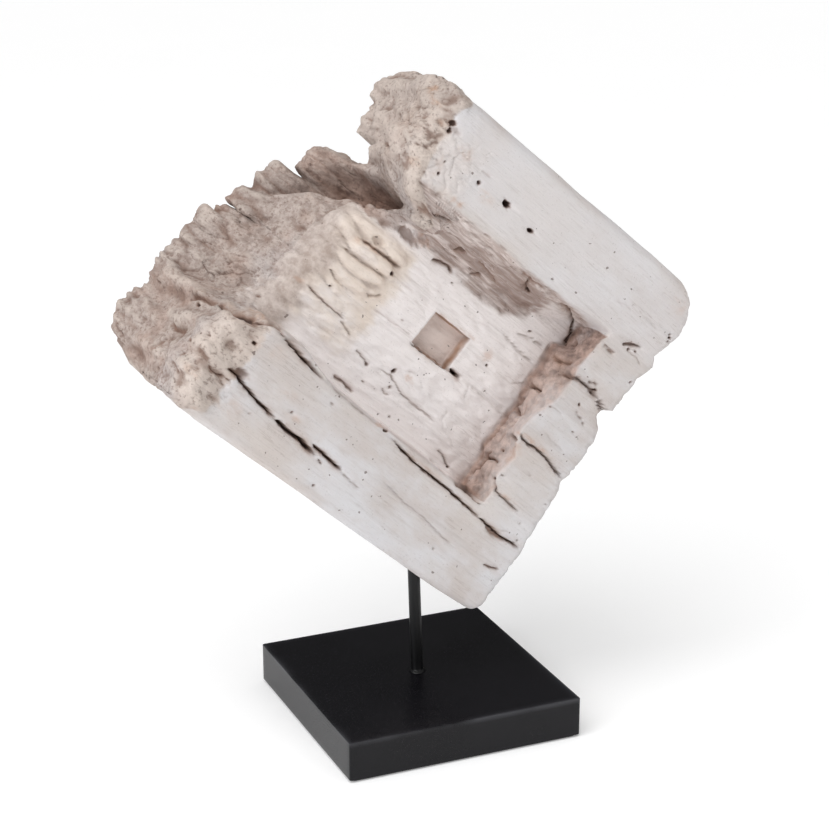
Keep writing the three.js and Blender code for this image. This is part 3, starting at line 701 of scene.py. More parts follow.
height = long_swell * (1 - 0.4 * in_trough) + fibre * (1 - worn) * (0.55 + 0.45 * in_trough)
height += 1.3 * layers(u / 17, v / 7, w / 12, 105, 3) * lip * in_trough
height += tool_marks + rot * worn + fins * worn + finger * fingers * (1 - worn) + flake * fibrous + plaster
chipped = np.exp(-((q - reading(CUT_END, s)) / 5) ** 2) + hewn_wall
height += chipped * (np.minimum(1.8 * layers(u / 7, v / 5, w / 7, 115, 2), 0.3) - 0.3)
height += hewn_wall * (2.2 * layers(u / 14, v / 9, w / 8, 111, 3) - 0.4)
height += 2.4 * layers(q / 22, s / 11, w / 26, 117, 3) * worn * rail_front
height *= 0.25 + 0.75 * steady
print("heights of wear from", height.min().round(1), "to", height.max().round(1), "mm")


# %% [markdown]
# The listed marks are cut last, so that a crack runs through knobs and fibres as it does in real wood. Each
# point of the skin measures how far it is from a mark's line, and sinks by a depth that falls with that
# distance. The same distance says where dust has settled and where the wood beside a crack is stained.

# %% Cutting the marks
wobble_q = 0.9 * swell(u / 7, v / 4, w / 9, 121)
wobble_s = 0.75 * swell(u / 5, v / 5, w / 9, 122) + 0.5 * swell(u / 19, v / 15, w / 15, 124)
cut = np.zeros_like(u)
dirt_and_shade = np.zeros_like(u)
halo = np.zeros_like(u)
marked = on_front & ~at_cut_end
THINNEST = 1.9


def cut_groove(points, width, depth, stain, across=q, upward=s, where=marked):
    """The distance to the line through the points, turned into a V that is deepest on the line and fades
    towards its ends. The points are on the sheet, or in two other directions of the block. A hairline is
    cut at the THINNEST width, so that the skin's points catch it, and gets less dirt instead. The halo of
    browner wood round a groove fades out over 5 mm."""
    stain *= min(1.0, 0.5 + width / 4)
    width = max(width, THINNEST)
    line = np.array(points, float)
    low, high = line.min(0) - width - 6, line.max(0) + width + 6
    close = (across > low[0]) & (across < high[0]) & (upward > low[1]) & (upward < high[1]) & where
    if not close.any():
        return
    here = np.stack([across[close] + wobble_q[close], upward[close] + wobble_s[close]], 1)
    lengths = np.linalg.norm(np.diff(line, axis=0), axis=1)
    passed = np.concatenate([[0], np.cumsum(lengths)]) / lengths.sum()
    best, at = np.full(len(here), 1e9), np.zeros(len(here))
    for k in range(len(line) - 1):
        step = line[k + 1] - line[k]
        t = np.clip((here - line[k]) @ step / (step @ step), 0, 1)
        away = np.linalg.norm(here - line[k] - t[:, None] * step, axis=1)
        at = np.where(away < best, passed[k] + t * (passed[k + 1] - passed[k]), at)
        best = np.minimum(best, away)
    fade = smooth(at, -0.02, 0.16) * (1 - smooth(at, 0.84, 1.02))
    uneven = 1 + 0.35 * swell(across[close] / 9, upward[close] / 9, 0.5, 123)
    half = width / 2 * (0.3 + 0.55 * fade) * uneven
    cut[close] = np.maximum(cut[close], depth * fade * (1 - smooth(best, half * 0.15, half + 0.55)))
    dirt_and_shade[close] = np.maximum(dirt_and_shade[close], stain * fade * (1 - smooth(best, half * 0.25, half + 0.6)))
    patchy = smooth(swell(across[close] / 10, upward[close] / 7, 0.5, 125), -0.4, 0.5)
    round_it = (1 - smooth(best, half, half + 5)) * patchy
    halo[close] = np.maximum(halo[close], min(1.0, depth / 6) * stain * fade * round_it)


def cut_hole(at_q, at_s, half_long, half_high, depth, stain):
    """A round-bottomed hole: the distance from its middle, measured in its own half sizes."""
    ragged = 1 + 0.3 * swell(q / 2.6, s / 2.6, w / 9, 131)
    away = np.hypot((q - at_q) / half_long, (s - at_s) / half_high) * ragged
    bowl = np.where(marked, 1 - smooth(away, 0.35, 1.15), 0)
    np.maximum(cut, depth * bowl, out=cut)
    np.maximum(dirt_and_shade, np.where(marked, stain * (1 - smooth(away, 0.5, 1.5)), 0), out=dirt_and_shade)


# %% Rust and old varnish
# Each is a place on the sheet, then its half length, half height and strength
STAINS = [
    (-60, -111, 5, 2.5, 0.7), (-76, -100, 8, 4, 0.3), (-61, 89, 5, 2.2, 1), (-44, 106, 6, 4, 0.5),
    (-140, 148, 8, 3.5, 0.9), (-124, 135, 4, 2.5, 0.6), (-132, -150, 5, 2.5, 0.6), (-131, 141, 4, 6, 0.8),
    (40, 15, 4, 4, 0.6), (14, 18, 10, 1.4, 0.6), (15, 6, 3.5, 10, 0.6), (-10, 16, 10, 1.8, 0.7),
    (-64, 50, 6, 3.5, 0.8), (3, -77, 5, 2.2, 0.8), (122, -15.5, 18, 2, 0.9), (130, -62, 8, 1.8, 0.8),
    (147, -91.5, 8, 2, 0.8), (112, -30, 4, 10, 0.5), (-3, -36, 4, 2.5, 0.7), (155, 140, 4, 7, 0.4),
    (-110, 91, 6, 4, 0.45), (-110, 128, 5, 3, 0.5), (-80, 120, 8, 5, 0.35), (-107, 20, 5, 2.5, 0.6),
    (-95, 23, 10, 2, 0.5), (-120, 60, 6, 5, 0.5), (-136, -66, 7, 2.2, 0.7), (-125, -28, 5, 2, 0.4),
    (-103, -80, 5, 6, 0.25), (92, 46, 8, 3, 0.5), (90, -72, 5, 3, 0.6), (-92, 100, 4, 9, 0.3),
    (-150, -128, 9, 3, 0.35), (-105, -132, 6, 9, 0.35), (60, -82, 22, 1.2, 0.35),
]
ochre = np.zeros_like(u)
for at_q, at_s, half_long, half_high, strength in STAINS:
    away = np.hypot((q - at_q) / half_long, (s - at_s) / half_high) + 0.7 * swell(q / 4, s / 3, w / 9, 141)
    ochre = np.maximum(ochre, np.where(on_front, strength * (1 - smooth(away, 0.3, 1.5)), 0))
print(len(STAINS), "stains cover", (ochre > 0.1).mean().round(3), "of the skin")

# %% Every listed mark, on the front and on the faces that the photograph hides
for groove in GROOVES:
    cut_groove(*groove)
for hole in HOLES:
    cut_hole(*hole)
back_face = (FACE < 0) & past_cap
upper_side = (FACE == 0) & (v > 0) & past_cap
lower_side = (FACE == 0) & (v < 0) & past_cap
for splits, across, upward, where in ((BACK_SPLITS, u, v, back_face), (UPPER_SPLITS, u, w, upper_side),
                                      (LOWER_SPLITS, u, w, lower_side), (END_CHECKS, v, w, at_cut_end)):
    for points, width, depth in splits:
        cut_groove(points, width, depth, 1.0, across, upward, where)

# %% Painted shade along the foot of the end wall and in its corner, darker notches between the fins, and calm edges at the brow
# Painted shade: the foot of the end wall gets a dark line where shade falls, in the same field as the
# cracks' dirt
FOOT_OF_WALL = [(-78, 88), (-46, 89), (-41, 85), (6, 85), (22, 81), (50, 79), (58, 89), (90, 89)]
foot_away = np.abs(q - reading(FOOT_OF_WALL, s))
foot_shade = (1 - smooth(foot_away, 0.5, 5)) * (0.5 + 0.35 * swell(q / 6, s / 8, 0.5, 151)) * on_front
dirt_and_shade = np.maximum(dirt_and_shade, foot_shade * smooth(s, -82, -74) * (1 - smooth(s, 78, 86)))
dirt_and_shade = np.maximum(dirt_and_shade, 0.45 * (1 - smooth(fin_wave, 0.0, 0.13)) * fin_place * worn)


def soft_spot(at_q, at_s, half_long, half_high):
    """A bell round a place on the sheet: 1 in its middle, a third at its half sizes."""
    return np.exp(-((q - at_q) / half_long) ** 2 - ((s - at_s) / half_high) ** 2)


# Painted shade: two soft dark spots in the corner where the end wall's foot meets the lower rail
dirt_and_shade = np.maximum(dirt_and_shade, 0.85 * soft_spot(97, -76, 17, 4) * on_front)
dirt_and_shade = np.maximum(dirt_and_shade, 0.5 * soft_spot(90, -70, 9, 9) * on_front)
# Painted shade: a dark band along the foot of the end wall's upper blocks
upper_foot = smooth(s, 6, 16) * (1 - smooth(s, 52, 60))
dirt_and_shade = np.maximum(dirt_and_shade, 0.45 * np.exp(-((q - 82) / 5) ** 2) * upper_foot * on_front)
height = height - cut
# The skin turns sharply at the brow, so hollows there are held to 5 mm and no fold can form
past_brow = row_index - worn_end_rows
near_brow = smooth(row_index, ROW_COUNTS["cap"] - 14, ROW_COUNTS["cap"] - 2) * (1 - smooth(past_brow, 2, 14))
held = 5 * np.tanh(height / 5)
height = np.where(height < 0, height + (held - height) * near_brow, height)
print("deepest mark:", cut.max().round(1), "mm")

# %% [markdown]
# Now the heights move the points outwards or inwards, and the result becomes a mesh. Each mask is kept as a
# number on every point, so that the finish can put a colour exactly where its kind of wear is.

# %% The worn skin's places
u2 = u + height * plain_normal[..., 0]
v2 = v + height * plain_normal[..., 1]
w2 = w + height * plain_normal[..., 2]
low_spot = spread(height, 5) - height
creased = smooth(low_spot, 0.25, 2.2)
proud = smooth(-low_spot, 0.3, 2.0)
place = MIDDLE + u2[..., None] * GRAIN + v2[..., None] * ACROSS + w2[..., None] * OUT
print("the worn skin runs from", place.min((0, 1)).round(), "to", place.max((0, 1)).round(), "mm")


# %% Meshes, and numbers kept on their points
def make_mesh(name, points, faces):
    """A mesh in metres from points in millimetres and triangles or quads."""
    mesh = bpy.data.meshes.new(name)
    points = np.asarray(points, np.float32).reshape(-1, 3) * MM
    faces = np.asarray(faces, np.int32)
    mesh.vertices.add(len(points))
    mesh.vertices.foreach_set("co", points.ravel())
    mesh.loops.add(faces.size)
    mesh.loops.foreach_set("vertex_index", faces.ravel())
    mesh.polygons.add(len(faces))
    mesh.polygons.foreach_set("loop_start", np.arange(len(faces), dtype=np.int32) * faces.shape[1])
    mesh.polygons.foreach_set("use_smooth", np.ones(len(faces), bool))
    mesh.update(calc_edges=True)
    piece = bpy.data.objects.new(name, mesh)
    bpy.context.scene.collection.objects.link(piece)
    return piece


def keep_field(piece, name, field):
    """A number for each point, which the finish reads by name."""
    stored = piece.data.attributes.new(name, "FLOAT", "POINT")
    stored.data.foreach_set("value", np.asarray(field, np.float32).ravel())


def outward(piece):
    """Whether the faces point out, and the litres inside. Each face is the foot of a thin pyramid up to the
    origin, and the volumes of all of them, counted with their signs, add up to more than 0 when they do."""
    mesh = piece.data
    mesh.calc_loop_triangles()
    corner_of = np.zeros(len(mesh.loop_triangles) * 3, np.int32)
    mesh.loop_triangles.foreach_get("vertices", corner_of)
    co = np.zeros(len(mesh.vertices) * 3, np.float32)
    mesh.vertices.foreach_get("co", co)
    a, b, c = co.reshape(-1, 3)[corner_of.reshape(-1, 3)].transpose(1, 0, 2).astype(float)
    volume = np.einsum("ij,ij->i", a, np.cross(b, c)).sum() / 6
    return volume > 0, volume * 1000


# %% The fine skin and its fields
kept = np.unique(triangles)
fine = make_mesh("wood_skin", place.reshape(-1, 3)[kept], np.searchsorted(kept, triangles))
dark_lip = lip * (1 - smooth(q + drift, -142, -98)) * (1 - 0.6 * soft_spot(-122, 28, 16, 14))
pale_rail = np.maximum(rail_front, 0.6 * smooth(v, 66, 90))
# The upper rail's front, which is made paler as painted light
high_rail_painted_light = rail_front * smooth(v, 84, 96) * (1 - worn)
# The dirt field holds the dirt of cracks and holes and the painted shade along the end wall's foot; the
# cavity's field sets its painted shade
FIELDS = dict(worn=worn, fibrous=fibrous, creamy=creamy, fingers=fingers, creased=creased, proud=proud,
              dirt_and_shade=dirt_and_shade, halo=halo, hewn_wall=hewn_wall, in_trough=in_trough, ochre=ochre,
              in_cavity=in_cavity, in_mortise=in_mortise, lip=dark_lip, rail_front=pale_rail,
              high_rail_painted_light=high_rail_painted_light, shade=soft_spot(36, 66, 30, 13))
for name, field in FIELDS.items():
    keep_field(fine, name, field.reshape(-1)[kept])
print("wood faces out and litres:", outward(fine))

# %% [markdown]
# The fine skin has more faces than a reusable model should carry, and most of them lie on plain stretches.
# Blender's Decimate modifier takes faces away where the shape is calm and leaves them in the cracks, so it
# is the right tool here. It is applied at once, and the marks' fields come through with the points.

# %% The finished wood
MOST_TRIANGLES = 196000


def applied(piece, name):
    """A new piece that has the old one's mesh with its modifiers applied. The old one is removed."""
    graph = bpy.context.evaluated_depsgraph_get()
    mesh = bpy.data.meshes.new_from_object(piece.evaluated_get(graph), depsgraph=graph)
    mesh.name = name
    bpy.data.objects.remove(piece)
    done = bpy.data.objects.new(name, mesh)
    bpy.context.scene.collection.objects.link(done)
    return done


thin = fine.modifiers.new("fewer faces", "DECIMATE")
thin.ratio = MOST_TRIANGLES / len(triangles)
wood = applied(fine, "weathered_wood")
wood.data.polygons.foreach_set("use_smooth", np.ones(len(wood.data.polygons), bool))
print("the wood has", len(wood.data.polygons), "triangles; faces out and litres:", outward(wood))

# %% [markdown]
# The base is a square block of wood under black lacquer. Its outline is a square with small round corners,
# and one profile is carried round it: over the top's eased edge, down the side, in under the block, up the
# pocket that hides the nut, and through the post's hole back to the top. That makes one closed skin with
# every visible edge eased, which a plain cube would not have.

# %% The base block
FELT = 2.0
BASE_TOP = 34.0
BASE_HALF = 100.0
EASE = 0.5
POST_RADIUS = 5.0
CLEAR = 0.3
POCKET_RADIUS = 15.0
POCKET_ROOF = 16.0
CORNER_RADIUS = 2.0
TOP_CORNER = 1.2
SIDE_POINTS = 36
CORNER_POINTS = 7


def square_outline(half, radius):
    """Once round a square with round corners: each corner's arc, then the straight to the next."""
    points = []
    for quarter in range(4):
        angle = math.pi / 2 * (quarter + np.arange(CORNER_POINTS) / (CORNER_POINTS - 1)) - math.pi / 2
        middle = (half - radius) * np.array([[1, -1], [1, 1], [-1, 1], [-1, -1]][quarter])
        points.append(middle + radius * np.stack([np.cos(angle), np.sin(angle)], 1))
        following = (half - radius) * np.array([[1, 1], [-1, 1], [-1, -1], [1, -1]][quarter])
        start, end = points[-1][-1], following + radius * np.array([np.cos(angle[-1]), np.sin(angle[-1])])
        share_on = np.arange(1, SIDE_POINTS)[:, None] / SIDE_POINTS
        points.append(start + (end - start) * share_on)
    return np.concatenate(points)


def circle_outline(radius):
    """A circle with its points in the same directions as the square's."""
    plain = square_outline(BASE_HALF, CORNER_RADIUS)
    angle = np.arctan2(plain[:, 1], plain[:, 0])
    return radius * np.stack([np.cos(angle), np.sin(angle)], 1)


def ring(outline, z):
    """The outline's points, all at the height z."""
    return np.concatenate([outline, np.full((len(outline), 1), float(z))], 1)


def carried_rings(ring_stack):
    """Quads between each ring and the next, and from the last back to the first."""
    count = len(ring_stack[0])
    index = np.arange(len(ring_stack) * count).reshape(len(ring_stack), count)
    below = np.roll(index, -1, axis=0)
    return np.stack([index, np.roll(index, -1, 1), np.roll(below, -1, 1), below], -1).reshape(-1, 4)


def eased_edge(bends, flat, inward):
    """Rings round an eased edge: at each bend the outline shrinks by 1 - sine of it, and the height moves
    by 1 - cosine, both times the easing."""
    for bend in np.radians(bends):
        shrink = EASE * (1 - math.sin(bend))
        outline = square_outline(BASE_HALF - shrink, CORNER_RADIUS - 0.5 * shrink)
        yield ring(outline, flat + inward * EASE * (1 - math.cos(bend)))


# %% The base's rings, from the hole over the top, down the side and up the pocket
BENDS = [0, 22, 45, 68, 90]
hole = POST_RADIUS + CLEAR
base_rings = [ring(circle_outline(hole), BASE_TOP)]
for inward in (0.1, 0.35, 0.62, 0.82, 0.93, 0.975):
    mixed = circle_outline(hole) * (1 - inward) + square_outline(BASE_HALF - EASE, TOP_CORNER) * inward
    base_rings.append(ring(mixed, BASE_TOP))
base_rings += eased_edge(BENDS, BASE_TOP, -1)
for z in np.linspace(BASE_TOP - 4, FELT + 4, 7):
    base_rings.append(ring(square_outline(BASE_HALF, CORNER_RADIUS), z))
base_rings += eased_edge(BENDS[::-1], FELT, 1)
base_rings += [ring(circle_outline(POCKET_RADIUS), FELT), ring(circle_outline(POCKET_RADIUS), POCKET_ROOF),
               ring(circle_outline(hole), POCKET_ROOF)]
base_points = np.concatenate(base_rings)
base = make_mesh("lacquered_base", base_points, carried_rings(base_rings))
if not outward(base)[0]:
    base.data.flip_normals()
# The edge field is 1 along the top's eased edge; the lacquer pales there, partly as handled wear and partly
# as a painted highlight
edge_near = BASE_HALF - np.abs(base_points[:, :2]).max(1)
keep_field(base, "edge", np.exp(-((edge_near + np.abs(BASE_TOP - base_points[:, 2])) / 2.2) ** 2))
base.data.set_sharp_from_angle(angle=math.radians(50))
print("the base has", len(base.data.polygons), "faces; faces out and litres:", outward(base))

# %% [markdown]
# The post is a steel bar, turned on a lathe in spirit: a profile of radius against height, carried round an
# axis. A bead of paint and weld lies round its foot. The real one leans a touch, so the axis does too.

# %% The post
OFF_PLUMB = np.array([-0.029, 0.0125])
POST_LOW, POST_HIGH = 4.0, 224.4
ROUND = 48
CHAMFER = 0.8
BEAD = [(6.5, 0), (7.05, 0.25), (6.95, 0.7), (6.35, 1.25), (5.6, 1.65), (5.15, 2.2), (POST_RADIUS, 3)]
profile = [(0.01, POST_LOW), (POST_RADIUS - CHAMFER, POST_LOW), (POST_RADIUS, POST_LOW + CHAMFER)]
profile += [(POST_RADIUS, BASE_TOP - 0.3)] + [(wide, BASE_TOP + up) for wide, up in BEAD]
profile += [(POST_RADIUS, z) for z in np.linspace(BASE_TOP + 8, POST_HIGH - CHAMFER, 24)]
profile += [(POST_RADIUS - CHAMFER, POST_HIGH), (0.01, POST_HIGH)]
radius, level = np.array(profile).T
around = 2 * math.pi * np.arange(ROUND) / ROUND
on_bead = (level > BASE_TOP) & (level < BASE_TOP + 2.3)
bead = 1 + 0.035 * np.sin(3 * around + 1) * on_bead[:, None]
rise = np.maximum(level - BASE_TOP, 0)[:, None]
post_points = np.stack([
    radius[:, None] * bead * np.cos(around) + OFF_PLUMB[0] * rise,
    radius[:, None] * bead * np.sin(around) + OFF_PLUMB[1] * rise,
    np.broadcast_to(level[:, None], (len(level), ROUND)),
], -1)
index = np.arange(post_points.shape[0] * ROUND).reshape(-1, ROUND)
beside = np.roll(index, -1, 1)
post_quads = np.stack([index[:-1], beside[:-1], beside[1:], index[1:]], -1).reshape(-1, 4)
post = make_mesh("steel_post", post_points, post_quads)
shape = bmesh.new()
shape.from_mesh(post.data)
bmesh.ops.holes_fill(shape, edges=[edge for edge in shape.edges if edge.is_boundary])
shape.to_mesh(post.data)
shape.free()
post.data.set_sharp_from_angle(angle=math.radians(50))
print("the post has", len(post.data.polygons), "faces; faces out and litres:", outward(post))

# %% [markdown]
# A finish is a small network of nodes. Written as plain sums and products it is easier to read than as a
# drawing, so one class wraps a number's socket and lets it be added, subtracted and multiplied. A second
# class is the workbench: it makes any node from its type, its settings and what goes into its sockets.

# %% Shader sums as plain expressions
class Number:
    """A number that varies over a surface. Each sum or product adds one Math node."""

    def __init__(self, bench, socket):
        self.bench, self.socket = bench, socket

    def sum_with(self, operation, first, second):
        """The first and the second through one Math node."""
        return self.bench.node("ShaderNodeMath", {"operation": operation}, {0: first, 1: second})

    def __add__(self, other):
        return self.sum_with("ADD", self, other)

    def __sub__(self, other):
        return self.sum_with("SUBTRACT", self, other)

    def __rsub__(self, other):
        return self.sum_with("SUBTRACT", other, self)

    def __mul__(self, other):
        return self.sum_with("MULTIPLY", self, other)

    __radd__, __rmul__ = __add__, __mul__

    def size(self):
        """The number without its sign."""
        return self.sum_with("ABSOLUTE", self, 0.0)

    def rise(self, low, high):
        """0 below low, 1 above high, and smooth between."""
        settings = {"interpolation_type": "SMOOTHSTEP"}
        sockets = {"Value": self, "From Min": low, "From Max": high}
        return self.bench.node("ShaderNodeMapRange", settings, sockets)


class Bench:
    """A material on the workbench: its nodes, its links, its one main shader, and the place on the piece."""

    def __init__(self, name):
        self.material = bpy.data.materials.new(name)
        self.material.use_nodes = True
        self.tree = self.material.node_tree
        self.tree.nodes.clear()
        output = self.tree.nodes.new("ShaderNodeOutputMaterial")
        self.shader = self.tree.nodes.new("ShaderNodeBsdfPrincipled")
        self.tree.links.new(self.shader.outputs[0], output.inputs[0])
        self.here = self.node("ShaderNodeTexCoord", {}, {}, "Object")

    def node(self, kind, settings, sockets, result=0):
        """Any node: its settings first, then a value or a link for each socket. Gives back one result."""
        made = self.tree.nodes.new(kind)
        for name, value in settings.items():
            setattr(made, name, value)
        self.fill(made, sockets)
        return Number(self, made.outputs[result])

    def fill(self, made, sockets):
        """Each socket gets its link or its constant."""
        for name, value in sockets.items():
            if isinstance(value, Number):
                self.tree.links.new(value.socket, made.inputs[name])
            else:
                made.inputs[name].default_value = value

    def blend(self, share, first, second):
        """From the first colour to the second as the share goes from 0 to 1. A colour is a node's result,
        three paint maker's numbers, or four amounts of light."""
        first, second = (colour(*tone) if isinstance(tone, tuple) and len(tone) == 3 else tone
                         for tone in (first, second))
        return self.node("ShaderNodeMix", {"data_type": "RGBA"}, {0: share, 6: first, 7: second}, 2)

    def painted(self, tint, coats):
        """The tint under coats of paint. Each coat is a share and a colour."""
        for share, tone in coats:
            tint = self.blend(share, tint, tone)
        return tint

    def field(self, name):
        """A number that was kept for each point of the piece."""
        return self.node("ShaderNodeAttribute", {"attribute_name": name}, {}, 2)

    def noise(self, place, scale, detail, rough):
        """Noise of so many bumps to a metre. Three scales stretch it along the three directions."""
        if isinstance(scale, tuple):
            place = self.node("ShaderNodeVectorMath", {"operation": "MULTIPLY"}, {0: place, 1: scale})
            scale = 1.0
        sockets = {"Vector": place, "Scale": scale, "Detail": detail, "Roughness": rough}
        return self.node("ShaderNodeTexNoise", {}, sockets)

    def finish(self, relief=None, strength=0.0, distance=0.0, **sockets):
        """The finished material: the relief goes through a Bump node, the rest straight to the shader."""
        if relief is not None:
            bump = {"Height": relief, "Strength": strength, "Distance": distance}
            sockets["Normal"] = self.node("ShaderNodeBump", {}, bump)
        self.fill(self.shader, {name.replace("_", " "): value for name, value in sockets.items()})
        return self.material


def colour(red, green, blue):
    """A colour as a paint maker reads it, 0 to 255, turned into amounts of light."""
    shares = np.array([red, green, blue]) / 255
    light = np.where(shares > 0.04045, ((shares + 0.055) / 1.055) ** 2.4, shares / 12.92)
    return (*light.tolist(), 1.0)


print("a warm white as light:", [round(x, 3) for x in colour(222, 212, 200)])

# %% [markdown]
# The bleached wood is a cool, chalky white where it was planed and sheltered, and a grey brown where it
# rotted. Its finish is laid on like paint, coat over coat. Each coat has a share, which is a field kept on
# the skin, a noise, or both multiplied, and a colour. Noise stretched along the grain breaks most coats up,
# and the same noise gives the fine fibres their relief. The trough's floor, the fingers on it and the upper
# rail, which get less light, are made paler still as painted light.

# %% Noises and the sound wood's coats
def wood_noises(bench):
    """Noises in the block's own directions: five are stretched along the grain, three are even."""
    grain = bench.node("ShaderNodeMapping", {}, {"Vector": bench.here, "Rotation": (0, -LEAN, 0)})
    return SimpleNamespace(
        streaks=bench.noise(grain, (6, 130, 130), 5.0, 0.62),
        fibres=bench.noise(grain, (40, 520, 520), 4.0, 0.65),
        blotches=bench.noise(grain, (16, 26, 26), 4.0, 0.6),
        broad=bench.noise(grain, (6, 11, 11), 3.0, 0.5),
        pores=bench.noise(grain, (230, 330, 330), 3.0, 0.65),
        grit=bench.noise(grain, 700.0, 3.0, 0.7),
        mottle=bench.noise(grain, 130.0, 4.0, 0.65),
        specks=bench.noise(grain, 230.0, 1.0, 0.5))


def sound_wood(bench, noise, fray):
    """Chalky white in two tones, then the trough, the rails, the fingers, the lip and the slope's fibres;
    the trough's floor, the fingers and the upper rail are made paler as painted light.
    """
    field, blotches, streaks = bench.field, noise.blotches, noise.streaks
    ragged = (field("fibrous") + fray * 0.6).rise(0.1, 1.0)
    lip_tint = bench.blend(noise.mottle.rise(0.3, 0.7), (198, 185, 177), (160, 143, 133))
    fibre_tint = bench.blend(noise.fibres.rise(0.35, 0.65), (220, 208, 203), (180, 161, 153))
    chalk = bench.blend(blotches.rise(0.3, 0.66), (218, 216, 218), (204, 195, 191))
    return bench.painted(chalk, [
        (noise.broad.rise(0.45, 0.68) * 0.6, (213, 203, 196)),
        # Painted light: the trough's floor lies in shade, so it is coloured a near white to make up for it
        (field("in_trough").rise(0.3, 0.9) * 0.8, (250, 243, 241)),
        (streaks.rise(0.52, 0.78) * 0.45, (186, 177, 173)),
        (field("creamy") * blotches.rise(0.3, 0.6) * 0.7, (224, 209, 198)),
        # Painted light: the upper rail gets less light than the lower one, so it is coloured paler
        (field("high_rail_painted_light") * 0.5, (224, 220, 221)),
        # The fingers' cream, made paler still as painted light for the shade on the trough's floor
        (field("fingers") * blotches.rise(0.2, 0.5) * 0.85, (230, 215, 201)),
        (field("lip").rise(0.0, 0.55) * 0.9, lip_tint),
        (ragged * 0.9, fibre_tint),
        (ragged * streaks.rise(0.42, 0.62) * 0.7, (138, 116, 106)),
        (ragged * field("shade") * blotches.rise(0.3, 0.55) * 0.8, (132, 108, 98)),
    ])


# %% [markdown]
# Rot turns the white into a grey brown with pinkish blotches, and leaves pale, dry patches where the
# surface stands proud. Creases are a darker brown, the chiselled end wall kept its pinkish heartwood colour,
# and a few spots of rust come from old nails. The cavity under the upper rail and the foot of the end wall
# are darkened as painted shade. Cracks are darkest of all, so their coats come last.

# %% The rotten wood's coats, and the dirt and painted shade over everything
def rotten_wood(bench, noise):
    """Grey brown in two tones, with pink and pale blotches, dark fibres and the rails' paler ends."""
    rotten = bench.blend(noise.mottle.rise(0.35, 0.7), (184, 169, 160), (146, 128, 118))
    return bench.painted(rotten, [
        (noise.blotches.rise(0.45, 0.7) * 0.65, (176, 147, 133)),
        (noise.broad.rise(0.5, 0.66) * 0.7, (202, 196, 195)),
        (noise.fibres.rise(0.45, 0.7) * 0.45, (128, 106, 96)),
        (bench.field("rail_front") * noise.blotches.rise(0.25, 0.5) * 0.85, (212, 198, 188)),
    ])


def cuts_dirt_and_shade(bench, noise, worn_here):
    """The coats over sound and rotten wood alike: wall, mortise, cavity as painted shade, creases, rust,
    pores, cracks, and dirt with painted shade.
    """
    field, blotches, mottle, fibres = bench.field, noise.blotches, noise.mottle, noise.fibres
    wall = bench.blend(mottle.rise(0.3, 0.7), (182, 152, 138), (112, 86, 75))
    cave = bench.blend(mottle.rise(0.3, 0.75), (166, 134, 118), (78, 52, 41))
    in_mortise, worn, dirt_and_shade = field("in_mortise"), field("worn"), field("dirt_and_shade")
    hairs = 1 - (noise.streaks - 0.5).size().rise(0.0, 0.012)
    return [
        (field("hewn_wall") * blotches.rise(0.15, 0.5) * 0.9, wall),
        (in_mortise.rise(0.3, 1.0) * 0.85, (228, 210, 201)),
        (in_mortise * (1 - in_mortise) * blotches * 6.5, (156, 124, 104)),
        (field("proud") * worn_here * 0.5, (205, 192, 182)),
        # Painted shade: the inside of the cavity under the upper rail is coloured dark brown
        (field("in_cavity") * 0.9, cave),
        (field("creased") * worn.rise(-0.6, 0.8) * 0.75, (124, 98, 85)),
        (field("ochre") * mottle.rise(0.3, 0.6) * 0.6, (190, 142, 106)),
        (hairs * blotches.rise(0.5, 0.62) * 0.35, (150, 134, 126)),
        (fibres.rise(0.52, 0.8) * 0.22, (140, 122, 112)),
        (noise.grit.rise(0.58, 0.75) * 0.3, (120, 102, 92)),
        (noise.pores.rise(0.52, 0.68) * worn * 0.55, (112, 90, 80)),
        (noise.specks.rise(0.75, 0.78) * 0.7, (96, 78, 70)),
        (field("halo") * mottle.rise(0.2, 0.6) * 0.5, (166, 138, 120)),
        # The dirt field's two browns: dirt in cracks and holes, and painted shade along the end wall's foot
        (dirt_and_shade.rise(0.1, 0.9) * 0.7, (146, 114, 98)),
        (dirt_and_shade.rise(0.5, 0.98) * 0.93, (62, 43, 35)),
    ]


# %% The bleached wood
def bleached_wood():
    """Sound wood, rotten wood over it by the worn field with a frayed border, then cuts, dirt and painted
    shade.
    """
    bench = Bench("bleached wood")
    noise = wood_noises(bench)
    worn = bench.field("worn")
    fray = (noise.blotches - 0.5) * 0.9 + (noise.mottle - 0.5) * 0.9
    worn_here = (worn + fray).rise(0.32, 0.72)
    tint = bench.blend(worn_here * 0.92, sound_wood(bench, noise, fray), rotten_wood(bench, noise))
    tint = bench.painted(tint, cuts_dirt_and_shade(bench, noise, worn_here))
    relief = noise.fibres * 0.6 + noise.streaks * 0.5 + noise.grit * 0.22
    relief = relief + noise.mottle * (worn * 1.4 + 0.25) - noise.pores * worn * 0.9
    return bench.finish(relief, 0.85, 0.0015, Base_Color=tint, Roughness=0.82 + noise.fibres * 0.14)


wood.data.materials.append(bleached_wood())
print("bleached wood has", len(wood.data.materials[0].node_tree.nodes), "nodes")

# %% [markdown]
# The stand is plain on purpose: satin black, so that the eye stays on the wood. Even so a flat black looks
# like a hole in the picture. The lacquer has a faint unevenness that ripples its reflections, a fine
# speckle in its gloss, and slightly paler top edges, partly where it has been handled and partly as a
# painted highlight. Its colours are given as amounts of light, because so dark a black needs finer steps
# than whole numbers of 255 allow.

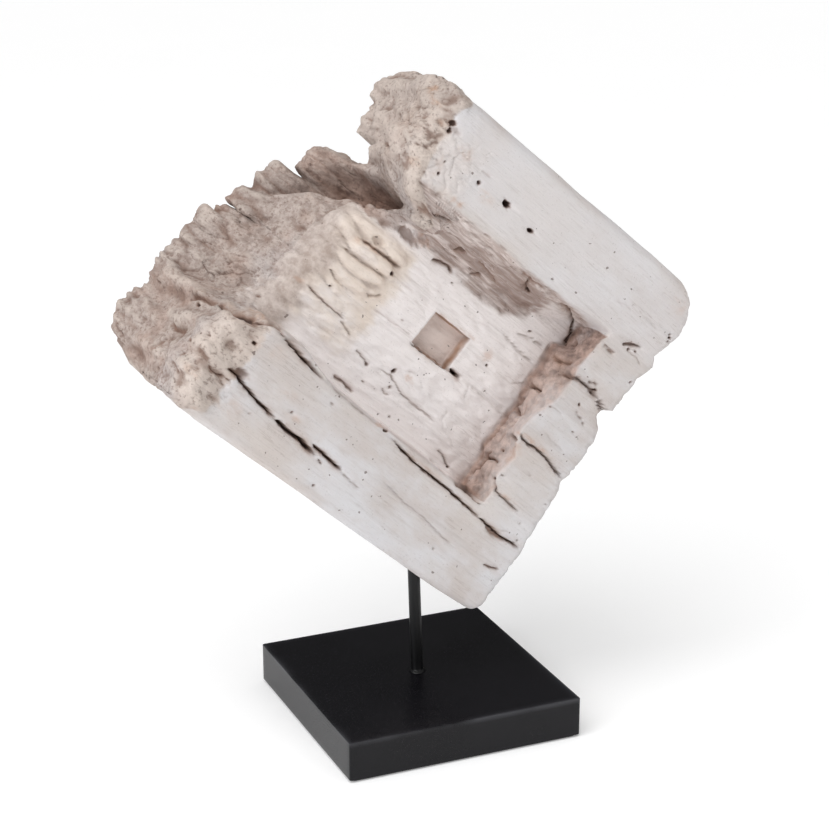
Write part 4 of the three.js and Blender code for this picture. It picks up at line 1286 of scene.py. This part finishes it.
# %% The stand's finishes
def black_lacquer():
    """Two near blacks in slow ripples, a paler edge that is partly handled wear and partly a painted
    highlight, and a gloss that speckle and ripple disturb.
    """
    bench = Bench("black lacquer")
    ripple = bench.noise(bench.here, 14.0, 3.0, 0.5)
    speckle = bench.noise(bench.here, 900.0, 2.0, 0.6)
    tint = bench.blend(ripple.rise(0.3, 0.7), (0.0035, 0.0032, 0.0046, 1), (0.0052, 0.0048, 0.0066, 1))
    # Paler top edges: partly handled wear, partly a painted highlight
    tint = bench.blend(bench.field("edge") * ripple.rise(0.35, 0.6) * 0.5, tint, (0.09, 0.09, 0.1, 1))
    return bench.finish(speckle * 0.4 + ripple, 0.12, 0.0005, Base_Color=tint,
                        Roughness=0.2 + speckle * 0.1 + ripple * 0.08, Specular_IOR_Level=0.25)


def black_steel():
    """Two near blacks smeared along the bar, under the fine grain of a powder coat."""
    bench = Bench("black steel")
    powder = bench.noise(bench.here, 1400.0, 2.0, 0.6)
    smear = bench.noise(bench.here, (60, 60, 12), 3.0, 0.5)
    tint = bench.blend(smear.rise(0.35, 0.7), (0.005, 0.005, 0.0055, 1), (0.008, 0.008, 0.009, 1))
    return bench.finish(powder, 0.15, 0.0003, Base_Color=tint, Roughness=0.28 + smear * 0.14,
                        Specular_IOR_Level=0.3)


def zinc():
    """Two bright greys in crystal spangles, with fine scratches up and down the part."""
    bench = Bench("zinc plate")
    spangle = bench.noise(bench.here, 260.0, 3.0, 0.6)
    scratch = bench.noise(bench.here, (900, 900, 60), 2.0, 0.5)
    tint = bench.blend(spangle.rise(0.35, 0.65), (0.48, 0.48, 0.47, 1), (0.62, 0.62, 0.63, 1))
    return bench.finish(scratch, 0.2, 0.0002, Base_Color=tint, Metallic=1.0, Roughness=0.28 + spangle * 0.25)


def felt():
    """Black fuzz with greyer tips, and broad patches where it is pressed."""
    bench = Bench("felt")
    fuzz = bench.noise(bench.here, 1600.0, 4.0, 0.75)
    patches = bench.noise(bench.here, 60.0, 3.0, 0.6)
    tint = bench.blend(fuzz.rise(0.35, 0.7), (0.006, 0.006, 0.006, 1), (0.03, 0.03, 0.031, 1))
    tint = bench.blend(patches.rise(0.4, 0.7) * 0.4, tint, (0.02, 0.02, 0.021, 1))
    return bench.finish(fuzz, 0.6, 0.0006, Base_Color=tint, Roughness=0.95)


base.data.materials.append(black_lacquer())
post.data.materials.append(black_steel())
for node, material in {"washer": zinc(), "nut": zinc(), "felt_sheet": felt()}.items():
    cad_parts[node].data.materials.clear()
    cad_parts[node].data.materials.append(material)
print("finishes:", [material.name for material in bpy.data.materials])

# %% [markdown]
# Each new piece stands for one node of the measured model and rides on its one body.

# %% Pieces in place of the measured model's nodes
for piece, node, slot in ((wood, "eroded_wood", "bleached_wood"), (base, "base_block", "black_lacquer"),
                          (post, "post", "black_steel")):
    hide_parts(node)
    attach(piece, "root")
print("pieces:", [piece.name for piece in (wood, base, post)])

# %% [markdown]
# The picture is a studio shot on white. A wide pale floor carries the block's soft shadow. The main light
# comes from above, in front and to the left, and is so broad that no shadow gets a hard edge. A softbox
# hangs to the left and a weaker one to the right. What the black stand mirrors matters as much as what
# lights it, so the room that it mirrors is kept dim under a bright ceiling.

# %% Floor and lights
HALF_FLOOR = 12000
floor_points = HALF_FLOOR * np.array([[-1, -1, 0], [1, -1, 0], [1, 1, 0], [-1, 1, 0]])
floor = make_mesh("pale_floor", floor_points, [[0, 1, 2, 3]])
paper = Bench("pale paper")
tooth = paper.noise(paper.here, 3.0, 2.0, 0.5)
floor.data.materials.append(paper.finish(
    Base_Color=paper.blend(tooth, (0.86, 0.86, 0.86, 1), (0.88, 0.88, 0.88, 1)), Roughness=0.9,
    Emission_Color=(1, 1, 1, 1), Emission_Strength=0.2))


LIT_POINT = Vector((0, 0, 0.3))


def soft_light(name, place, size, power, tone=(1, 1, 1)):
    """A square softbox that looks at the block."""
    lamp = bpy.data.lights.new(name, "AREA")
    lamp.size = size
    lamp.energy = power
    lamp.color = tone
    holder = bpy.data.objects.new(name, lamp)
    holder.location = place
    holder.rotation_euler = (LIT_POINT - Vector(place)).to_track_quat("-Z", "Y").to_euler()
    bpy.context.scene.collection.objects.link(holder)


soft_light("left softbox", (-2.0, -0.6, 0.9), 1.4, 16, (0.95, 0.97, 1))
soft_light("right fill", (1.5, -1.9, 0.9), 1.6, 6)
sun = bpy.data.lights.new("big softbox", "SUN")
sun.energy = 1.7
sun.angle = math.radians(55)
sun_holder = bpy.data.objects.new("big softbox", sun)
sun_holder.rotation_euler = Vector((0.5, 0.42, -1.0)).to_track_quat("-Z", "Y").to_euler()
bpy.context.scene.collection.objects.link(sun_holder)

# %% Surroundings: white behind the block, and for reflections a dim room with a bright ceiling
world = bpy.data.worlds.new("studio")
world.use_nodes = True
sky = world.node_tree
sky.nodes.clear()
direction = sky.nodes.new("ShaderNodeTexCoord")
height_part = sky.nodes.new("ShaderNodeSeparateXYZ")
ramp = sky.nodes.new("ShaderNodeMapRange")
for end, amount in {"From Min": 0.45, "From Max": 0.85, "To Min": 0.05, "To Max": 0.8}.items():
    ramp.inputs[end].default_value = amount
sky.links.new(direction.outputs["Generated"], height_part.inputs[0])
sky.links.new(height_part.outputs[2], ramp.inputs["Value"])
seen = sky.nodes.new("ShaderNodeBackground")
around_it = sky.nodes.new("ShaderNodeBackground")
choose = sky.nodes.new("ShaderNodeMixShader")
seen.inputs[0].default_value = (1, 1, 1, 1)
around_it.inputs[0].default_value = (1, 1, 1, 1)
sky.links.new(ramp.outputs[0], around_it.inputs["Strength"])
ray = sky.nodes.new("ShaderNodeLightPath")
sky.links.new(ray.outputs["Is Camera Ray"], choose.inputs[0])
sky.links.new(around_it.outputs[0], choose.inputs[1])
sky.links.new(seen.outputs[0], choose.inputs[2])
sky.links.new(choose.outputs[0], sky.nodes.new("ShaderNodeOutputWorld").inputs[0])
bpy.context.scene.world = world
bpy.context.scene.view_settings.view_transform = "Standard"
